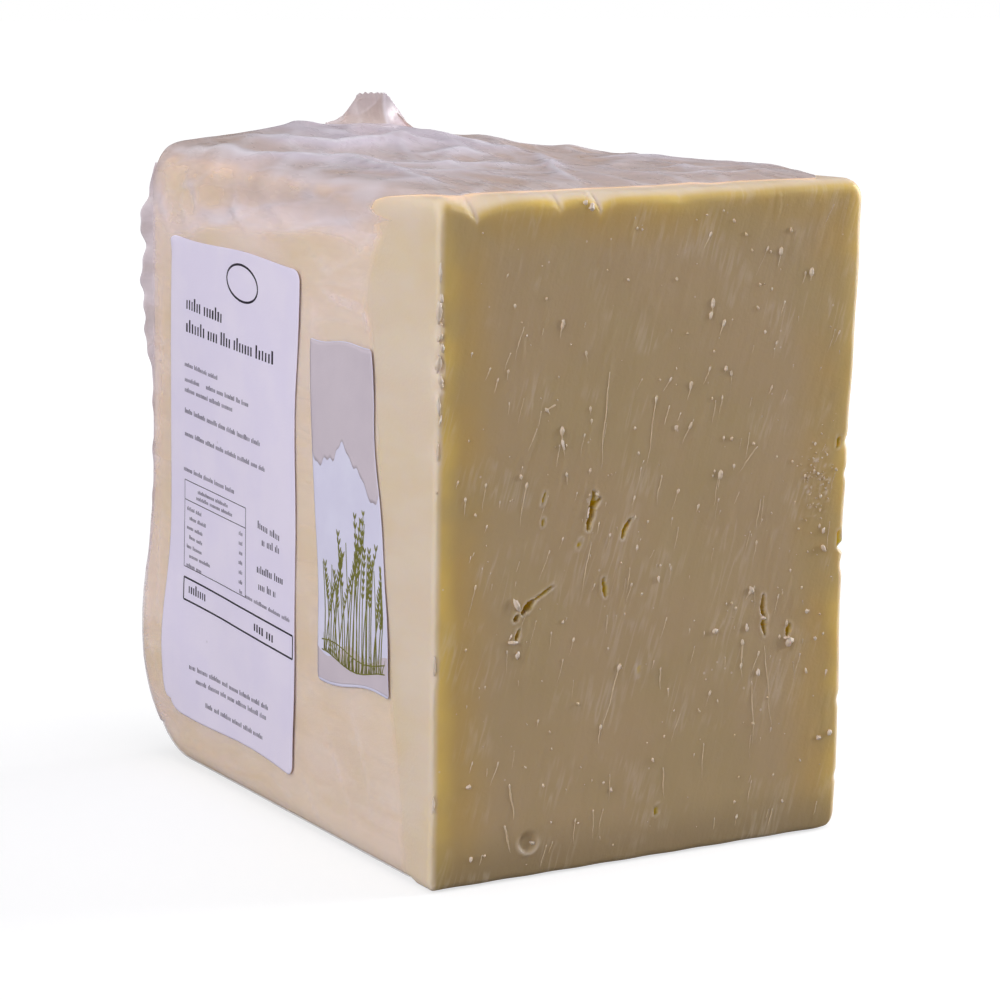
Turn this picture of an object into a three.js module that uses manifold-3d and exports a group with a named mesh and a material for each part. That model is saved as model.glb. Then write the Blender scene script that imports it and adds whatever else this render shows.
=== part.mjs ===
// A block of white cheddar in its vacuum film, cut across so that the bare inside shows.
// X runs across the cut face, Y from the cut face to the back, Z up, in millimetres.
// The labelled side looks along -X and the cut face along -Y.
import * as THREE from "three";
import { mergeVertices } from "three/addons/utils/BufferGeometryUtils.js";
import Module from "manifold-3d";

const wasm = await Module();
wasm.setup();

// Driving dimensions.
const blockWidth = 144;
const blockLength = 183;
const blockHeight = 197;
const cutArris = 1.2; // soft edge round the cut face
const underfilm = 0.9; // the cheese lies this much higher where film passes under it
const sinkStart = 3; // it comes down to the floor this far in front of the film, over the next length
const sinkReach = 2;
const filmGap = 0.3;
const filmWall = 0.6;
const labelGap = 0.3;
const labelWall = 0.4;

// Radii of the four long edges at the cut and at the back.
const edges = {
  lowRight: { atCut: 4, atBack: 7 },
  highRight: { atCut: 6, atBack: 11 },
  highLeft: { atCut: 3.5, atBack: 11 },
  lowLeft: { atCut: 2.5, atBack: 6 },
};

// Radius between the sides and the back, and the radius to which the low back edge is worn.
const backRound = { leftAndLow: 5, others: 10 };
const wornEdge = { atLeft: 26, atRight: 10 };

// How the pressed block departs from a straight one.
const topFall = { atLeft: 0.5, atRight: 3.5 }; // the top lies lower at the back
const topRise = 1.6; // and higher at the cut, away from the labelled side
const leftCrown = 1.2; // the labelled side swells in its middle
const leftBulge = { left: 3.4, back: 2.1, height: 42, reach: 26 }; // swelling low on the rear edge
const backCrown = 2;
const rightSide = { swell: 0.9, flare: 2.6, flareFrom: 0.6, wave: 0.4, turns: 11 };

// The film is trimmed back from the cut along these lines, given as Y.
const trimLeft = { low: -79.5, lean: 0.145, turnUp: 162, turnAt: -52.3, turnLean: -0.24 };
const trimTop = { corner: -87.5, middle: -81, right: -70 };
const trimRight = { low: -79, high: -72 };
const openEnd = 20; // the hollow runs this far out of the film's open end
const bareLip = 2; // the cheese keeps its form this far in front of the film

// The film stands off the top in a hump towards the back, with ridges across it.
const hump = { rise: 8, x: -6, spread: 50, from: 0, to: 78 };
const looseness = 0.5;
const liftZone = { down: 12, back: 14, atTrim: 0.15 }; // where the lift dies out at the edges
const ridges = [
  { from: [-66, 70], to: [-60, 10], high: 2.6, wide: 8 },
  { from: [-60, 10], to: [-38, -62], high: 2.2, wide: 8 },
  { from: [-34, 66], to: [22, 28], high: 2.4, wide: 8 },
  { from: [22, 4], to: [-6, -48], high: 1.6, wide: 7 },
];

// The gathered end of the film stands at the back of the top, and the seal runs down the rear edge.
const tail = { from: -10, to: 19, y: 82, rise: 10, wall: 1.8, folds: 1.5, sway: 2 };
const rootDepth = 2; // how deep both are rooted before the hollow is cut
const seal = { low: 118, high: 193, out: 5, wall: 0.8, waves: 5 };

// Labels on the left side: corners as [Y, Z], from the rear top corner round.
const detailsLabel = {
  corners: [[73.1, 172.2], [-13, 169.8], [-11.4, 14.6], [73.9, 19.1]],
  round: 3.5,
};
const pictureLabel = {
  corners: [[-20.7, 150.3], [-56.3, 151.8], [-70.1, 51.8], [-28.6, 49.5]],
  round: 3,
};

// Pits in the cut face: X and Z of the middle, half width, half height, depth and lean in degrees.
const pits = [
  [-20.4, 106, 1.5, 5.2, 7, 9],
  [-8.2, 100, 1.3, 3, 3.5, 32],
  [-15.1, 83.2, 1, 2.6, 3, 0],
  [-42.3, 78.8, 2, 4, 6, 48],
  [-36.1, 83.6, 1, 3.8, 3, 62],
  [-44.4, 71.7, 1.2, 2, 4, 10],
  [41.9, 69.5, 1.4, 5.6, 7, 2],
  [50.9, 62.3, 1.9, 2.4, 3, 0],
  [-39.5, 10.6, 3.4, 3.6, 1.6, 35],
  [72.6, 111.5, 2, 3.6, 3, 0],
  [72.4, 88, 2, 3.8, 4, 0],
];

// Crumbs and flakes that stand on it: X, Z, half width, half height, how far they stand out, lean.
const crumbs = [
  [-46.2, 70.2, 2, 0.7, 1, 4],
  [-44.6, 81, 0.8, 2.2, 0.9, 40],
  [51.5, 60.3, 1, 1.3, 1, 0],
  [24.2, 66.4, 0.8, 1.2, 0.8, 0],
  [37.2, 77.5, 0.8, 1.2, 0.8, 0],
  [35.8, 65.5, 0.8, 1, 0.8, 0],
  [-30.2, 130.3, 0.6, 3.2, 0.6, 18],
  [17.3, 181.9, 0.6, 2.8, 0.6, 30],
];

// Chips out of the upper edge of the cut: X, half width, depth and reach along Y.
const chips = [
  [-60, 9, 6.2, 8],
  [-32.6, 4.5, 3.6, 6],
  [-19.6, 5, 6, 6],
];

// Steps of the meshes.
const cornerSteps = 4;
const widthSteps = 15;
const heightSteps = 10;
const sideSteps = 16;
const roundSteps = 4;
const backRings = 3;

const material = (color, roughness, opacity = 1) =>
  new THREE.MeshStandardMaterial({ color, roughness, metalness: 0, opacity, transparent: opacity < 1 });
const cheese = material(0xd9c99a, 0.5);
const film = material(0xd5ccd6, 0.25, 0.5);
const whitePaper = material(0xe2dcf0, 0.6);
const printedPaper = material(0xc9cbdc, 0.5);

const { PI, abs, cos, exp, max, min, sin, sqrt } = Math;
const lerp = THREE.MathUtils.lerp;
const smooth = (t) => THREE.MathUtils.smoothstep(t, 0, 1);
const bell = (t) => exp(-t * t);

// One spot of the cross-section's ring: its corner, its outward normal, and for a straight stretch
// the next corner and how far towards it the spot lies. The ring runs anticlockwise seen from the cut.
function ringSpots() {
  const corners = [
    { edge: "lowRight", sx: 1, sz: 0, turn: -PI / 2, steps: heightSteps },
    { edge: "highRight", sx: 1, sz: 1, turn: 0, steps: widthSteps },
    { edge: "highLeft", sx: -1, sz: 1, turn: PI / 2, steps: heightSteps },
    { edge: "lowLeft", sx: -1, sz: 0, turn: PI, steps: widthSteps },
  ];
  const spots = [];
  corners.forEach((corner, i) => {
    for (let j = 0; j <= cornerSteps; j++) {
      const angle = corner.turn + (j / cornerSteps) * (PI / 2);
      spots.push({ corner, nx: cos(angle), nz: sin(angle) });
    }
    const last = spots.at(-1);
    for (let j = 1; j < corner.steps; j++)
      spots.push({ ...last, next: corners[(i + 1) % 4], share: j / corner.steps });
  });
  return spots;
}
const spots = ringSpots();

// The nominal place of a ring spot at a station y, with the whole section moved out by "out".
function sectionPoint(spot, y, out) {
  const along = THREE.MathUtils.clamp(y / blockLength + 0.5, 0, 1);
  const place = (corner) => {
    const { atCut, atBack } = edges[corner.edge];
    const r = max(lerp(atCut, atBack, along) + out, 0.3);
    const x = corner.sx * (blockWidth / 2 + out - r);
    const z = corner.sz ? blockHeight + out - r : underfilm - out + r;
    return [x + r * spot.nx, z + r * spot.nz];
  };
  const [x, z] = place(spot.corner);
  if (!spot.next) return new THREE.Vector3(x, y, z);
  const [x2, z2] = place(spot.next);
  return new THREE.Vector3(lerp(x, x2, spot.share), y, lerp(z, z2, spot.share));
}

// Radius between the sides and the back at a ring spot.
function backRadius(spot) {
  const p = sectionPoint(spot, 0, 0);
  const left = smooth((-p.x / (blockWidth / 2) - 0.8) / 0.2);
  const low = smooth((20 - p.z) / 20);
  return lerp(backRound.others, backRound.leftAndLow, max(left, low));
}

// The low back edge worn round: the square corner of the Y-Z plane drawn in to a quarter circle.
function worn(p) {
  const q = p.clone();
  const radius = lerp(wornEdge.atRight, wornEdge.atLeft, smooth(0.5 - p.x / blockWidth));
  const back = p.y - (blockLength / 2 - radius);
  const down = underfilm + radius - p.z;
  if (back <= 0 || down <= 0) return q;
  const pull = max(back, down) / Math.hypot(back, down);
  q.y += back * (pull - 1);
  q.z -= down * (pull - 1);
  return q;
}

// A point of the straight block moved to where the pressed one has it.
function uneven(p) {
  const across = p.x / (blockWidth / 2);
  const along = THREE.MathUtils.clamp(p.y / blockLength + 0.5, 0, 1);
  const up = THREE.MathUtils.clamp(p.z / blockHeight, 0, 1);
  const left = smooth(-across) ** 3;
  const right = smooth(across) ** 3;
  const rear = bell((p.z - leftBulge.height) / leftBulge.reach) * smooth((along - 0.7) / 0.3) * left;
  const q = worn(p);
  q.x -= left * leftCrown * sin(PI * along) * sin(PI * up) + leftBulge.left * rear;
  const { swell, flare, flareFrom, wave, turns } = rightSide;
  q.x += right * (swell + flare * smooth((up - flareFrom) / (1 - flareFrom)) + wave * sin(turns * up));
  q.y += leftBulge.back * rear;
  q.y += backCrown * smooth((along - 0.9) / 0.1) * cos((PI / 2) * across) * sin(PI * up);
  const fall = lerp(topFall.atLeft, topFall.atRight, smooth(0.5 + across / 2));
  q.z += (topRise * smooth(across) * (1 - along) ** 2 - fall * along ** 1.5) * up ** 4;
  return q;
}

// Where a ring point of the surface that lies "out" off the block is, for a share t of the way from
// the film's edge to the back face: straight along the side, then round the rear edge.
function skinPoint(spot, out, t) {
  const roundShare = roundSteps / (sideSteps + roundSteps);
  const front = trimLine(spot);
  const radius = backRadius(spot);
  const turnStart = blockLength / 2 - radius;
  if (t <= 1 - roundShare) return sectionPoint(spot, lerp(front, turnStart, t / (1 - roundShare)), out);
  const angle = ((t - (1 - roundShare)) / roundShare) * (PI / 2);
  const inset = radius * (1 - cos(angle));
  const p = sectionPoint(spot, turnStart, out * cos(angle) - inset);
  p.y = turnStart + (radius + out) * sin(angle);
  return p;
}

// Rings of the surface that lies "out" off the block, from the film's edge to the middle of the back.
function skinRings(out) {
  const all = sideSteps + roundSteps;
  const rings = [];
  for (let k = 0; k <= all; k++) rings.push(spots.map((spot) => skinPoint(spot, out, k / all)));
  const rim = rings.at(-1);
  const middle = middleOf(rim);
  for (let k = 1; k < backRings; k++)
    rings.push(rim.map((p) => p.clone().lerp(middle, k / backRings)));
  return rings;
}

function middleOf(ring) {
  return ring.reduce((sum, p) => sum.add(p), new THREE.Vector3()).divideScalar(ring.length);
}

// A closed surface through rings of points, its two ends drawn to their middles.
function loft(rings) {
  const count = rings[0].length;
  const points = [middleOf(rings[0]), ...rings.flat(), middleOf(rings.at(-1))];
  const at = (k, i) => 1 + k * count + (i % count);
  const faces = [];
  for (let i = 0; i < count; i++) {
    faces.push(0, at(0, i), at(0, i + 1));
    faces.push(points.length - 1, at(rings.length - 1, i + 1), at(rings.length - 1, i));
    for (let k = 0; k + 1 < rings.length; k++) {
      faces.push(at(k, i), at(k + 1, i), at(k + 1, i + 1));
      faces.push(at(k, i), at(k + 1, i + 1), at(k, i + 1));
    }
  }
  return new THREE.BufferGeometry().setFromPoints(points).setIndex(faces);
}

// A closed slab on a grid of shares s and t. Layer 1 lies on the side to which the cross product
// of the directions of s and t points, layer 0 on the other.
function slab(columns, rows, pointAt) {
  const points = [];
  for (const layer of [1, 0])
    for (let j = 0; j <= rows; j++)
      for (let i = 0; i <= columns; i++) points.push(pointAt(i / columns, j / rows, layer));
  const half = (columns + 1) * (rows + 1);
  const at = (i, j, layer) => (layer ? 0 : half) + j * (columns + 1) + i;
  const faces = [];
  const quad = (a, b, c, d) => faces.push(a, b, c, a, c, d);
  for (let j = 0; j < rows; j++)
    for (let i = 0; i < columns; i++) {
      quad(at(i, j, 1), at(i + 1, j, 1), at(i + 1, j + 1, 1), at(i, j + 1, 1));
      quad(at(i, j, 0), at(i, j + 1, 0), at(i + 1, j + 1, 0), at(i + 1, j, 0));
    }
  for (let i = 0; i < columns; i++) {
    quad(at(i, 0, 0), at(i + 1, 0, 0), at(i + 1, 0, 1), at(i, 0, 1));
    quad(at(i, rows, 1), at(i + 1, rows, 1), at(i + 1, rows, 0), at(i, rows, 0));
  }
  for (let j = 0; j < rows; j++) {
    quad(at(0, j, 1), at(0, j + 1, 1), at(0, j + 1, 0), at(0, j, 0));
    quad(at(columns, j, 0), at(columns, j + 1, 0), at(columns, j + 1, 1), at(columns, j, 1));
  }
  return new THREE.BufferGeometry().setFromPoints(points).setIndex(faces);
}

// A three.js geometry as a solid, and a solid as a three.js geometry.
function solid(geometry) {
  const bare = geometry.clone();
  bare.deleteAttribute("normal");
  bare.deleteAttribute("uv");
  const merged = mergeVertices(bare, 1e-4);
  const triVerts = new Uint32Array(merged.index.array);
  const vertProperties = merged.attributes.position.array;
  return new wasm.Manifold(new wasm.Mesh({ numProp: 3, vertProperties, triVerts }));
}
function geometryOf(made) {
  const { vertProperties, triVerts } = made.getMesh();
  const geometry = new THREE.BufferGeometry();
  geometry.setAttribute("position", new THREE.BufferAttribute(vertProperties, 3));
  geometry.setIndex(new THREE.BufferAttribute(triVerts, 1));
  geometry.computeVertexNormals();
  return geometry;
}

// A small uneven lump centred on the cut face.
function lump(x, z, halfWidth, halfHeight, depth, lean, detail = 1) {
  const shape = new THREE.IcosahedronGeometry(1, detail);
  const put = new THREE.Matrix4().makeTranslation(x, -blockLength / 2, z);
  put.multiply(new THREE.Matrix4().makeRotationY(THREE.MathUtils.degToRad(lean)));
  put.multiply(new THREE.Matrix4().makeRotationX(0.2 + x / blockWidth));
  put.multiply(new THREE.Matrix4().makeScale(halfWidth, depth, halfHeight));
  return solid(shape.applyMatrix4(put));
}

// A chip out of the upper edge: a stretched octahedron whose lowest point is the notch.
function chip(x, halfWidth, depth, reach) {
  const shape = new THREE.OctahedronGeometry(1, 1).scale(halfWidth, reach, depth);
  return solid(shape.translate(x, -blockLength / 2, blockHeight));
}

// The cheese, with its pits and chips cut and its crumbs joined on.
function cheeseBlock() {
  const face = -blockLength / 2;
  const sink = (p) => {
    const isBare = 1 - smooth((p.y - trimLeft.low + sinkStart) / sinkReach);
    const isLow = 1 - smooth((p.z - underfilm) / edges.lowRight.atCut);
    p.z -= underfilm * isBare * isLow;
    return p;
  };
  const arris = spots.map((spot) => sectionPoint(spot, face, -cutArris));
  const front = spots.map((spot) => sectionPoint(spot, face + cutArris, 0));
  const bare = spots.map((spot) => sectionPoint(spot, trimLine(spot) - bareLip, 0));
  const rings = [arris, front, bare, ...skinRings(0)];
  let block = solid(loft(rings.map((ring) => ring.map((p) => sink(uneven(p))))));
  for (const pit of pits) block = block.subtract(lump(...pit));
  for (const row of chips) block = block.subtract(chip(...row));
  for (const crumb of crumbs) block = block.add(lump(...crumb, 0));
  return geometryOf(block);
}

// The line along which the film ends, as the Y of each ring spot.
function trimLine(spot) {
  const p = sectionPoint(spot, 0, 0);
  const upper = trimLeft.turnAt + trimLeft.turnLean * (p.z - trimLeft.turnUp);
  const left = min(trimLeft.low + trimLeft.lean * p.z, upper);
  const top =
    p.x < 0
      ? lerp(trimTop.middle, trimTop.corner, smooth((-p.x - 20) / 50))
      : lerp(trimTop.middle, trimTop.right, smooth((p.x - 50) / 20));
  const right = lerp(trimRight.low, trimRight.high, p.z / blockHeight);
  const low = lerp(trimLeft.low, trimRight.low, p.x / blockWidth + 0.5);
  if (spot.next && abs(spot.nx) > 0.5) return spot.nx < 0 ? left : right;
  if (spot.next) return spot.nz > 0 ? top : low;
  const side = spot.nx < 0 ? left : right;
  const flat = spot.nz > 0 ? top : low;
  return lerp(side, flat, spot.nz * spot.nz);
}

// How far the film stands off the top.
function puff(x, y) {
  const back = hump.rise * bell((x - hump.x) / hump.spread) * smooth((y - hump.from) / (hump.to - hump.from));
  let high = looseness + back;
  for (const ridge of ridges) {
    const [ax, ay] = ridge.from;
    const dx = ridge.to[0] - ax;
    const dy = ridge.to[1] - ay;
    const share = THREE.MathUtils.clamp(((x - ax) * dx + (y - ay) * dy) / (dx * dx + dy * dy), 0, 1);
    const away = Math.hypot(x - ax - share * dx, y - ay - share * dy);
    high += ridge.high * bell(away / ridge.wide);
  }
  return high;
}

// How far the film is lifted over a point of the block's own skin.
function lift(p) {
  const { down, back, atTrim } = liftZone;
  const front = smooth((p.y - trimTop.corner) / back);
  const top = smooth((p.z - (blockHeight - down)) / down);
  return top * lerp(atTrim, 1, front) * puff(p.x, min(p.y, blockLength / 2));
}

// Rings of the film's surface that lies "out" off the block.
function filmRings(out) {
  const skin = skinRings(0);
  return skinRings(out).map((ring, k) =>
    ring.map((p, i) => {
      const q = uneven(p);
      q.z += lift(skin[k][i]);
      return q;
    }),
  );
}

// The height of the film over a place on the top.
function filmTop(x, y) {
  const p = new THREE.Vector3(x, y, blockHeight);
  return uneven(p).z + lift(p);
}

// The gathered tail: a folded fin whose crown is torn and uneven.
function tailSlab() {
  const crown = (s) => {
    const outline = min(s / 0.24, 1, (1 - s) / 0.36);
    return smooth(outline) * (0.93 + 0.07 * cos(11 * s));
  };
  return slab(14, 5, (s, t, layer) => {
    const x = lerp(tail.from, tail.to, s) + 1.5 * t * (0.5 - s);
    const y = tail.y + tail.sway * sin(2 * PI * tail.folds * s) * (0.3 + 0.7 * t);
    const wall = lerp(tail.wall, 0.8, t);
    const foot = filmTop(x, y) - rootDepth;
    const head = filmTop(x, y) + 0.6 + tail.rise * crown(s);
    return new THREE.Vector3(x, y + (layer ? -wall / 2 : wall / 2), lerp(foot, head, t));
  });
}

// The seal along the rear edge of the labelled side: a thin fin with a scalloped outer edge.
function sealSlab() {
  const corner = spots.findIndex((spot) => spot.corner.edge === "highLeft" && !spot.next);
  const side = spots.slice(corner).find((spot) => spot.next && spot.nx < -0.9);
  const out = filmGap + filmWall / 2;
  return slab(18, 2, (s, t, layer) => {
    const z = lerp(seal.low, seal.high, s);
    const radius = backRadius(side);
    const turnStart = blockLength / 2 - radius;
    const reach = (radius + out - rootDepth) * sqrt(0.5);
    const root = new THREE.Vector3(-blockWidth / 2 + radius - reach, turnStart + reach, z);
    const ends = smooth(s * 2.4) * smooth((1 - s) * 9 + 0.35);
    const width = seal.out * ends * (0.86 + 0.14 * cos(2 * PI * seal.waves * s));
    const p = uneven(root);
    const half = (layer ? 1 : -1) * (seal.wall / 2) * (1 - 0.4 * t);
    p.x += -0.8 * (rootDepth + width) * t - 0.6 * half;
    p.y += 0.6 * (rootDepth + width) * t - 0.8 * half;
    return p;
  });
}

// The film: a thin wrap open at the cut, with its tail and its seal. The hollow is cut last, out
// through the open end.
function filmWrap() {
  const outside = filmRings(filmGap + filmWall);
  const inside = filmRings(filmGap);
  const mouth = inside[0].map((p) => new THREE.Vector3(p.x, p.y - openEnd, p.z));
  const whole = solid(loft(outside)).add(solid(tailSlab())).add(solid(sealSlab()));
  return geometryOf(whole.subtract(solid(loft([mouth, ...inside]))));
}

// A label lying on the film over the left side, a grid pushed to its rounded corners.
function labelSheet({ corners, round }, columns, rows) {
  const [rearTop, frontTop, frontLow, rearLow] = corners.map(([y, z]) => new THREE.Vector2(y, z));
  const wide = rearTop.distanceTo(frontTop);
  const high = frontTop.distanceTo(frontLow);
  const ease = (t) => 0.5 - 0.5 * cos(PI * t) * lerp(1, 0.75, 4 * t * (1 - t));
  return slab(columns, rows, (s, t, layer) => {
    const u = ease(s) * wide - wide / 2;
    const v = ease(t) * high - high / 2;
    const cu = THREE.MathUtils.clamp(u, round - wide / 2, wide / 2 - round);
    const cv = THREE.MathUtils.clamp(v, round - high / 2, high / 2 - round);
    const reach = Math.hypot(u - cu, v - cv);
    const ring = max(abs(u - cu), abs(v - cv));
    const pull = reach > 0 ? ring / reach : 1;
    const share = 0.5 + (cu + (u - cu) * pull) / wide;
    const down = 0.5 + (cv + (v - cv) * pull) / high;
    const top = rearTop.clone().lerp(frontTop, share);
    const place = top.lerp(rearLow.clone().lerp(frontLow, share), down);
    const out = filmGap + filmWall + labelGap + (layer ? 0 : labelWall);
    return uneven(new THREE.Vector3(-blockWidth / 2 - out, place.x, place.y));
  });
}

const group = new THREE.Group();
function add(name, geometry, finish) {
  const mesh = new THREE.Mesh(geometry, finish);
  mesh.name = name;
  group.add(mesh);
}
add("cheese_block", cheeseBlock(), cheese);
add("film_wrap", filmWrap(), film);
add("label_details", labelSheet(detailsLabel, 9, 13), whitePaper);
add("label_picture", labelSheet(pictureLabel, 6, 10), printedPaper);

// The origin is under the middle of the whole.
const box = new THREE.Box3().setFromObject(group);
const centre = box.getCenter(new THREE.Vector3());
group.position.set(-centre.x, -centre.y, -box.min.z);

export default group;
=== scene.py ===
"""The looks of a cut block of white cheddar in its milky vacuum film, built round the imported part.

Lengths are millimetres in the block's own place: X runs across the cut face, Y from the cut to the
back, Z up, with the block's middle at X = Y = 0. The function place() turns them into the frame's metres.
"""
from math import radians

import bpy
import numpy as np
from mathutils import Matrix, Vector


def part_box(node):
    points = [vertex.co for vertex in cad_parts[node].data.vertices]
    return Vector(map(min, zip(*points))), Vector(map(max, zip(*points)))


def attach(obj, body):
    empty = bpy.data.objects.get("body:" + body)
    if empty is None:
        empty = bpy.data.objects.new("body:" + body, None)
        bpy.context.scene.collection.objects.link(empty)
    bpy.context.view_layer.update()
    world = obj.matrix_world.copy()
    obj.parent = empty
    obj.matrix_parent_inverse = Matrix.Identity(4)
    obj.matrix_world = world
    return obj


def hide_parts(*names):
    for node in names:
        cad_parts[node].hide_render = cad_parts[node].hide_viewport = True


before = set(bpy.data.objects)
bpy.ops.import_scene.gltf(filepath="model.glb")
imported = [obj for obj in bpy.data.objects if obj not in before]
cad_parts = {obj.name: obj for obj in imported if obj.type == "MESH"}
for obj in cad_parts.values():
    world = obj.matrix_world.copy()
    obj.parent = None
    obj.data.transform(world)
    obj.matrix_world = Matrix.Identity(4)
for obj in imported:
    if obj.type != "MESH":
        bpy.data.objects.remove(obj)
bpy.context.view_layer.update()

# Driving dimensions of the block, as in the part.
WIDTH, LENGTH, HEIGHT = 144.0, 183.0, 197.0
UNDERFILM = 0.9
FACE = -LENGTH / 2
CRUMB_STAND = 1.0  # the tallest crumb stands this far off the cut face
# Radii of the four long edges at the cut and at the back, by side (1 is right) and by height (1 is top).
RADII = {(1, 0): (4, 7), (1, 1): (6, 11), (-1, 1): (3.5, 11), (-1, 0): (2.5, 6)}
BACK_ROUND = {"left_and_low": 5, "others": 10}
WORN = {"left": 26, "right": 10}
TOP_FALL = {"left": 0.5, "right": 3.5}
TOP_RISE = 1.6
LEFT_CROWN = 1.2
BULGE = {"left": 3.4, "back": 2.1, "height": 42, "reach": 26}
BACK_CROWN = 2
RIGHT_SIDE = {"swell": 0.9, "flare": 2.6, "flare_from": 0.6, "wave": 0.4, "turns": 11}
BACKWARD = np.array([0.0, 1.0, 0.0])

SHIFT_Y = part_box("cheese_block")[0].y * 1000 - (FACE - CRUMB_STAND)


def place(points):
    """Points in millimetres in the block's own place, in the frame's metres."""
    return (points + np.array([0.0, SHIFT_Y, 0.0])) * 0.001


# Curves and noise that the shapes share.


def smooth(t):
    """An ease from 0 to 1: three times the square less twice the cube, held at both ends."""
    t = np.clip(t, 0, 1)
    return t * t * (3 - 2 * t)


def lerp(a, b, t):
    return a + (b - a) * t


def bell(t):
    return np.exp(-t * t)


def ripple(u, v, size, seed):
    """Noise from about -1 to 1: a square lattice of that size holds a random direction at each corner, and
    the slopes along these directions are eased between the corners."""
    table = np.random.default_rng(seed).uniform(0, 2 * np.pi, (256, 256))
    a, b = np.asarray(u) / size, np.asarray(v) / size
    i, j = np.floor(a).astype(int), np.floor(b).astype(int)
    s, t = smooth(a - i), smooth(b - j)

    def corner(di, dj):
        turn = table[(i + di) % 256, (j + dj) % 256]
        return (a - i - di) * np.cos(turn) + (b - j - dj) * np.sin(turn)

    return 1.7 * lerp(lerp(corner(0, 0), corner(1, 0), s), lerp(corner(0, 1), corner(1, 1), s), t)


def from_line(u, v, line):
    """Distance of points (u, v) from a line through a few points, and the share of its length passed."""
    line = np.asarray(line, float)
    lengths = np.hypot(*(line[1:] - line[:-1]).T)
    gap, passed = np.full(np.shape(u), 1e9), np.zeros(np.shape(u))
    for k, ((a, b), (c, d)) in enumerate(zip(line[:-1], line[1:])):
        share = np.clip(((u - a) * (c - a) + (v - b) * (d - b)) / lengths[k] ** 2, 0, 1)
        away = np.hypot(u - a - share * (c - a), v - b - share * (d - b))
        passed = np.where(away < gap, (lengths[:k].sum() + share * lengths[k]) / lengths.sum(), passed)
        gap = np.minimum(gap, away)
    return gap, passed


def crowded(low, high, spacing, zones):
    """Grid lines from low to high. Their spacing falls to a zone's own within its reach of its middle."""
    fine = np.linspace(low, high, 4000)
    density = np.full(fine.shape, 1 / spacing)
    for middle, reach, own in zones:
        near = smooth((reach - np.abs(fine - middle)) / (0.4 * reach) + 0.5)
        density = np.maximum(density, lerp(1 / spacing, 1 / own, near))
    run = np.concatenate([[0], np.cumsum((density[1:] + density[:-1]) / 2 * np.diff(fine))])
    count = int(np.ceil(run[-1]))
    return np.interp(np.linspace(0, run[-1], count + 1), run, fine)


# Making meshes and materials.


def quads(rows, cols, start=0, wrap=False, flip=False):
    """Faces of a grid of points held row by row. They face cross(column step, row step), or away from it."""
    i = np.arange(cols if wrap else cols - 1)
    j = np.arange(rows - 1)[:, None]
    a = start + j * cols + i
    b = start + j * cols + (i + 1) % cols
    corners = [a, a + cols, b + cols, b] if flip else [a, b, b + cols, a + cols]
    return np.stack(corners, -1).reshape(-1, 4)


def cap(start, count, pole):
    """Triangles from a ring of count points to the one point pole."""
    first = np.arange(count)
    return np.stack([start + first, np.full(count, pole), start + (first + 1) % count], -1)


def tubes(count, steps, turns):
    """Faces of closed tubes held one after the other, each of steps rings of turns points with flat ends."""
    starts = np.arange(count)[:, None, None] * steps * turns
    wall = quads(steps, turns, wrap=True) + starts
    ends = np.stack([np.arange(turns)[::-1], (steps - 1) * turns + np.arange(turns)]) + starts
    return [wall.reshape(-1, 4), ends.reshape(-1, turns)]


def sideways(spines):
    """Unit vectors to the left of the way along lines of points in a plane."""
    along, up = np.moveaxis(np.gradient(spines, axis=1), -1, 0)
    return np.stack([-up, along], -1) / np.maximum(np.hypot(along, up), 1e-9)[..., None]


def piece(name, points, faces, material, slot, replaced=(), **fields):
    """A mesh object of these points in millimetres, riding on the part's one body. A field is a number
    for each point, or one for all."""
    points = np.reshape(points, (-1, 3))
    mesh = bpy.data.meshes.new(name)
    mesh.vertices.add(len(points))
    mesh.vertices.foreach_set("co", place(points).ravel())
    corners = np.concatenate([f.ravel() for f in faces])
    counts = np.concatenate([np.full(len(f), f.shape[1]) for f in faces])
    mesh.loops.add(len(corners))
    mesh.loops.foreach_set("vertex_index", corners)
    mesh.polygons.add(len(counts))
    mesh.polygons.foreach_set("loop_start", np.cumsum(counts) - counts)
    mesh.update(calc_edges=True)
    mesh.validate()
    mesh.shade_smooth()
    for field, values in fields.items():
        made = mesh.attributes.new(field, "FLOAT", "POINT")
        made.data.foreach_set("value", np.broadcast_to(np.ravel(values), len(points)).astype(np.float32))
    mesh.materials.append(material)
    made = bpy.data.objects.new(name, mesh)
    bpy.context.scene.collection.objects.link(made)
    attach(made, "root")
    if replaced:
        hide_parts(*replaced)
    return made


def thicken(made, wall):
    """Gives a sheet its wall, on the inner side of its faces, in millimetres."""
    made.modifiers.new("wall", "SOLIDIFY").thickness = wall * 0.001
    made.modifiers["wall"].offset = -1
    return made


def node(tree, kind, values=(), **settings):
    """A node with its settings; values maps its inputs to numbers, colours or other nodes' outputs."""
    made = tree.nodes.new("ShaderNode" + kind)
    for name, value in settings.items():
        setattr(made, name, value)
    for key, value in dict(values).items():
        if isinstance(value, bpy.types.NodeSocket):
            tree.links.new(value, made.inputs[key])
        else:
            made.inputs[key].default_value = value
    return made


def sums(tree, operation, a, b, c=None, clamp=False):
    """A Math node's output."""
    given = {0: a, 1: b} if c is None else {0: a, 1: b, 2: c}
    return node(tree, "Math", given, operation=operation, use_clamp=clamp).outputs[0]


def between(tree, value, low, high, to_low=0.0, to_high=1.0):
    """Value carried from low..high to to_low..to_high, eased and held at both ends."""
    given = {"Value": value, "From Min": low, "From Max": high, "To Min": to_low, "To Max": to_high}
    return node(tree, "MapRange", given, interpolation_type="SMOOTHSTEP").outputs[0]


def blended(tree, share, a, b):
    """Colour a where share is 0, colour b where it is 1."""
    return node(tree, "Mix", {0: share, 6: a, 7: b}, data_type="RGBA").outputs[2]


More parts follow.
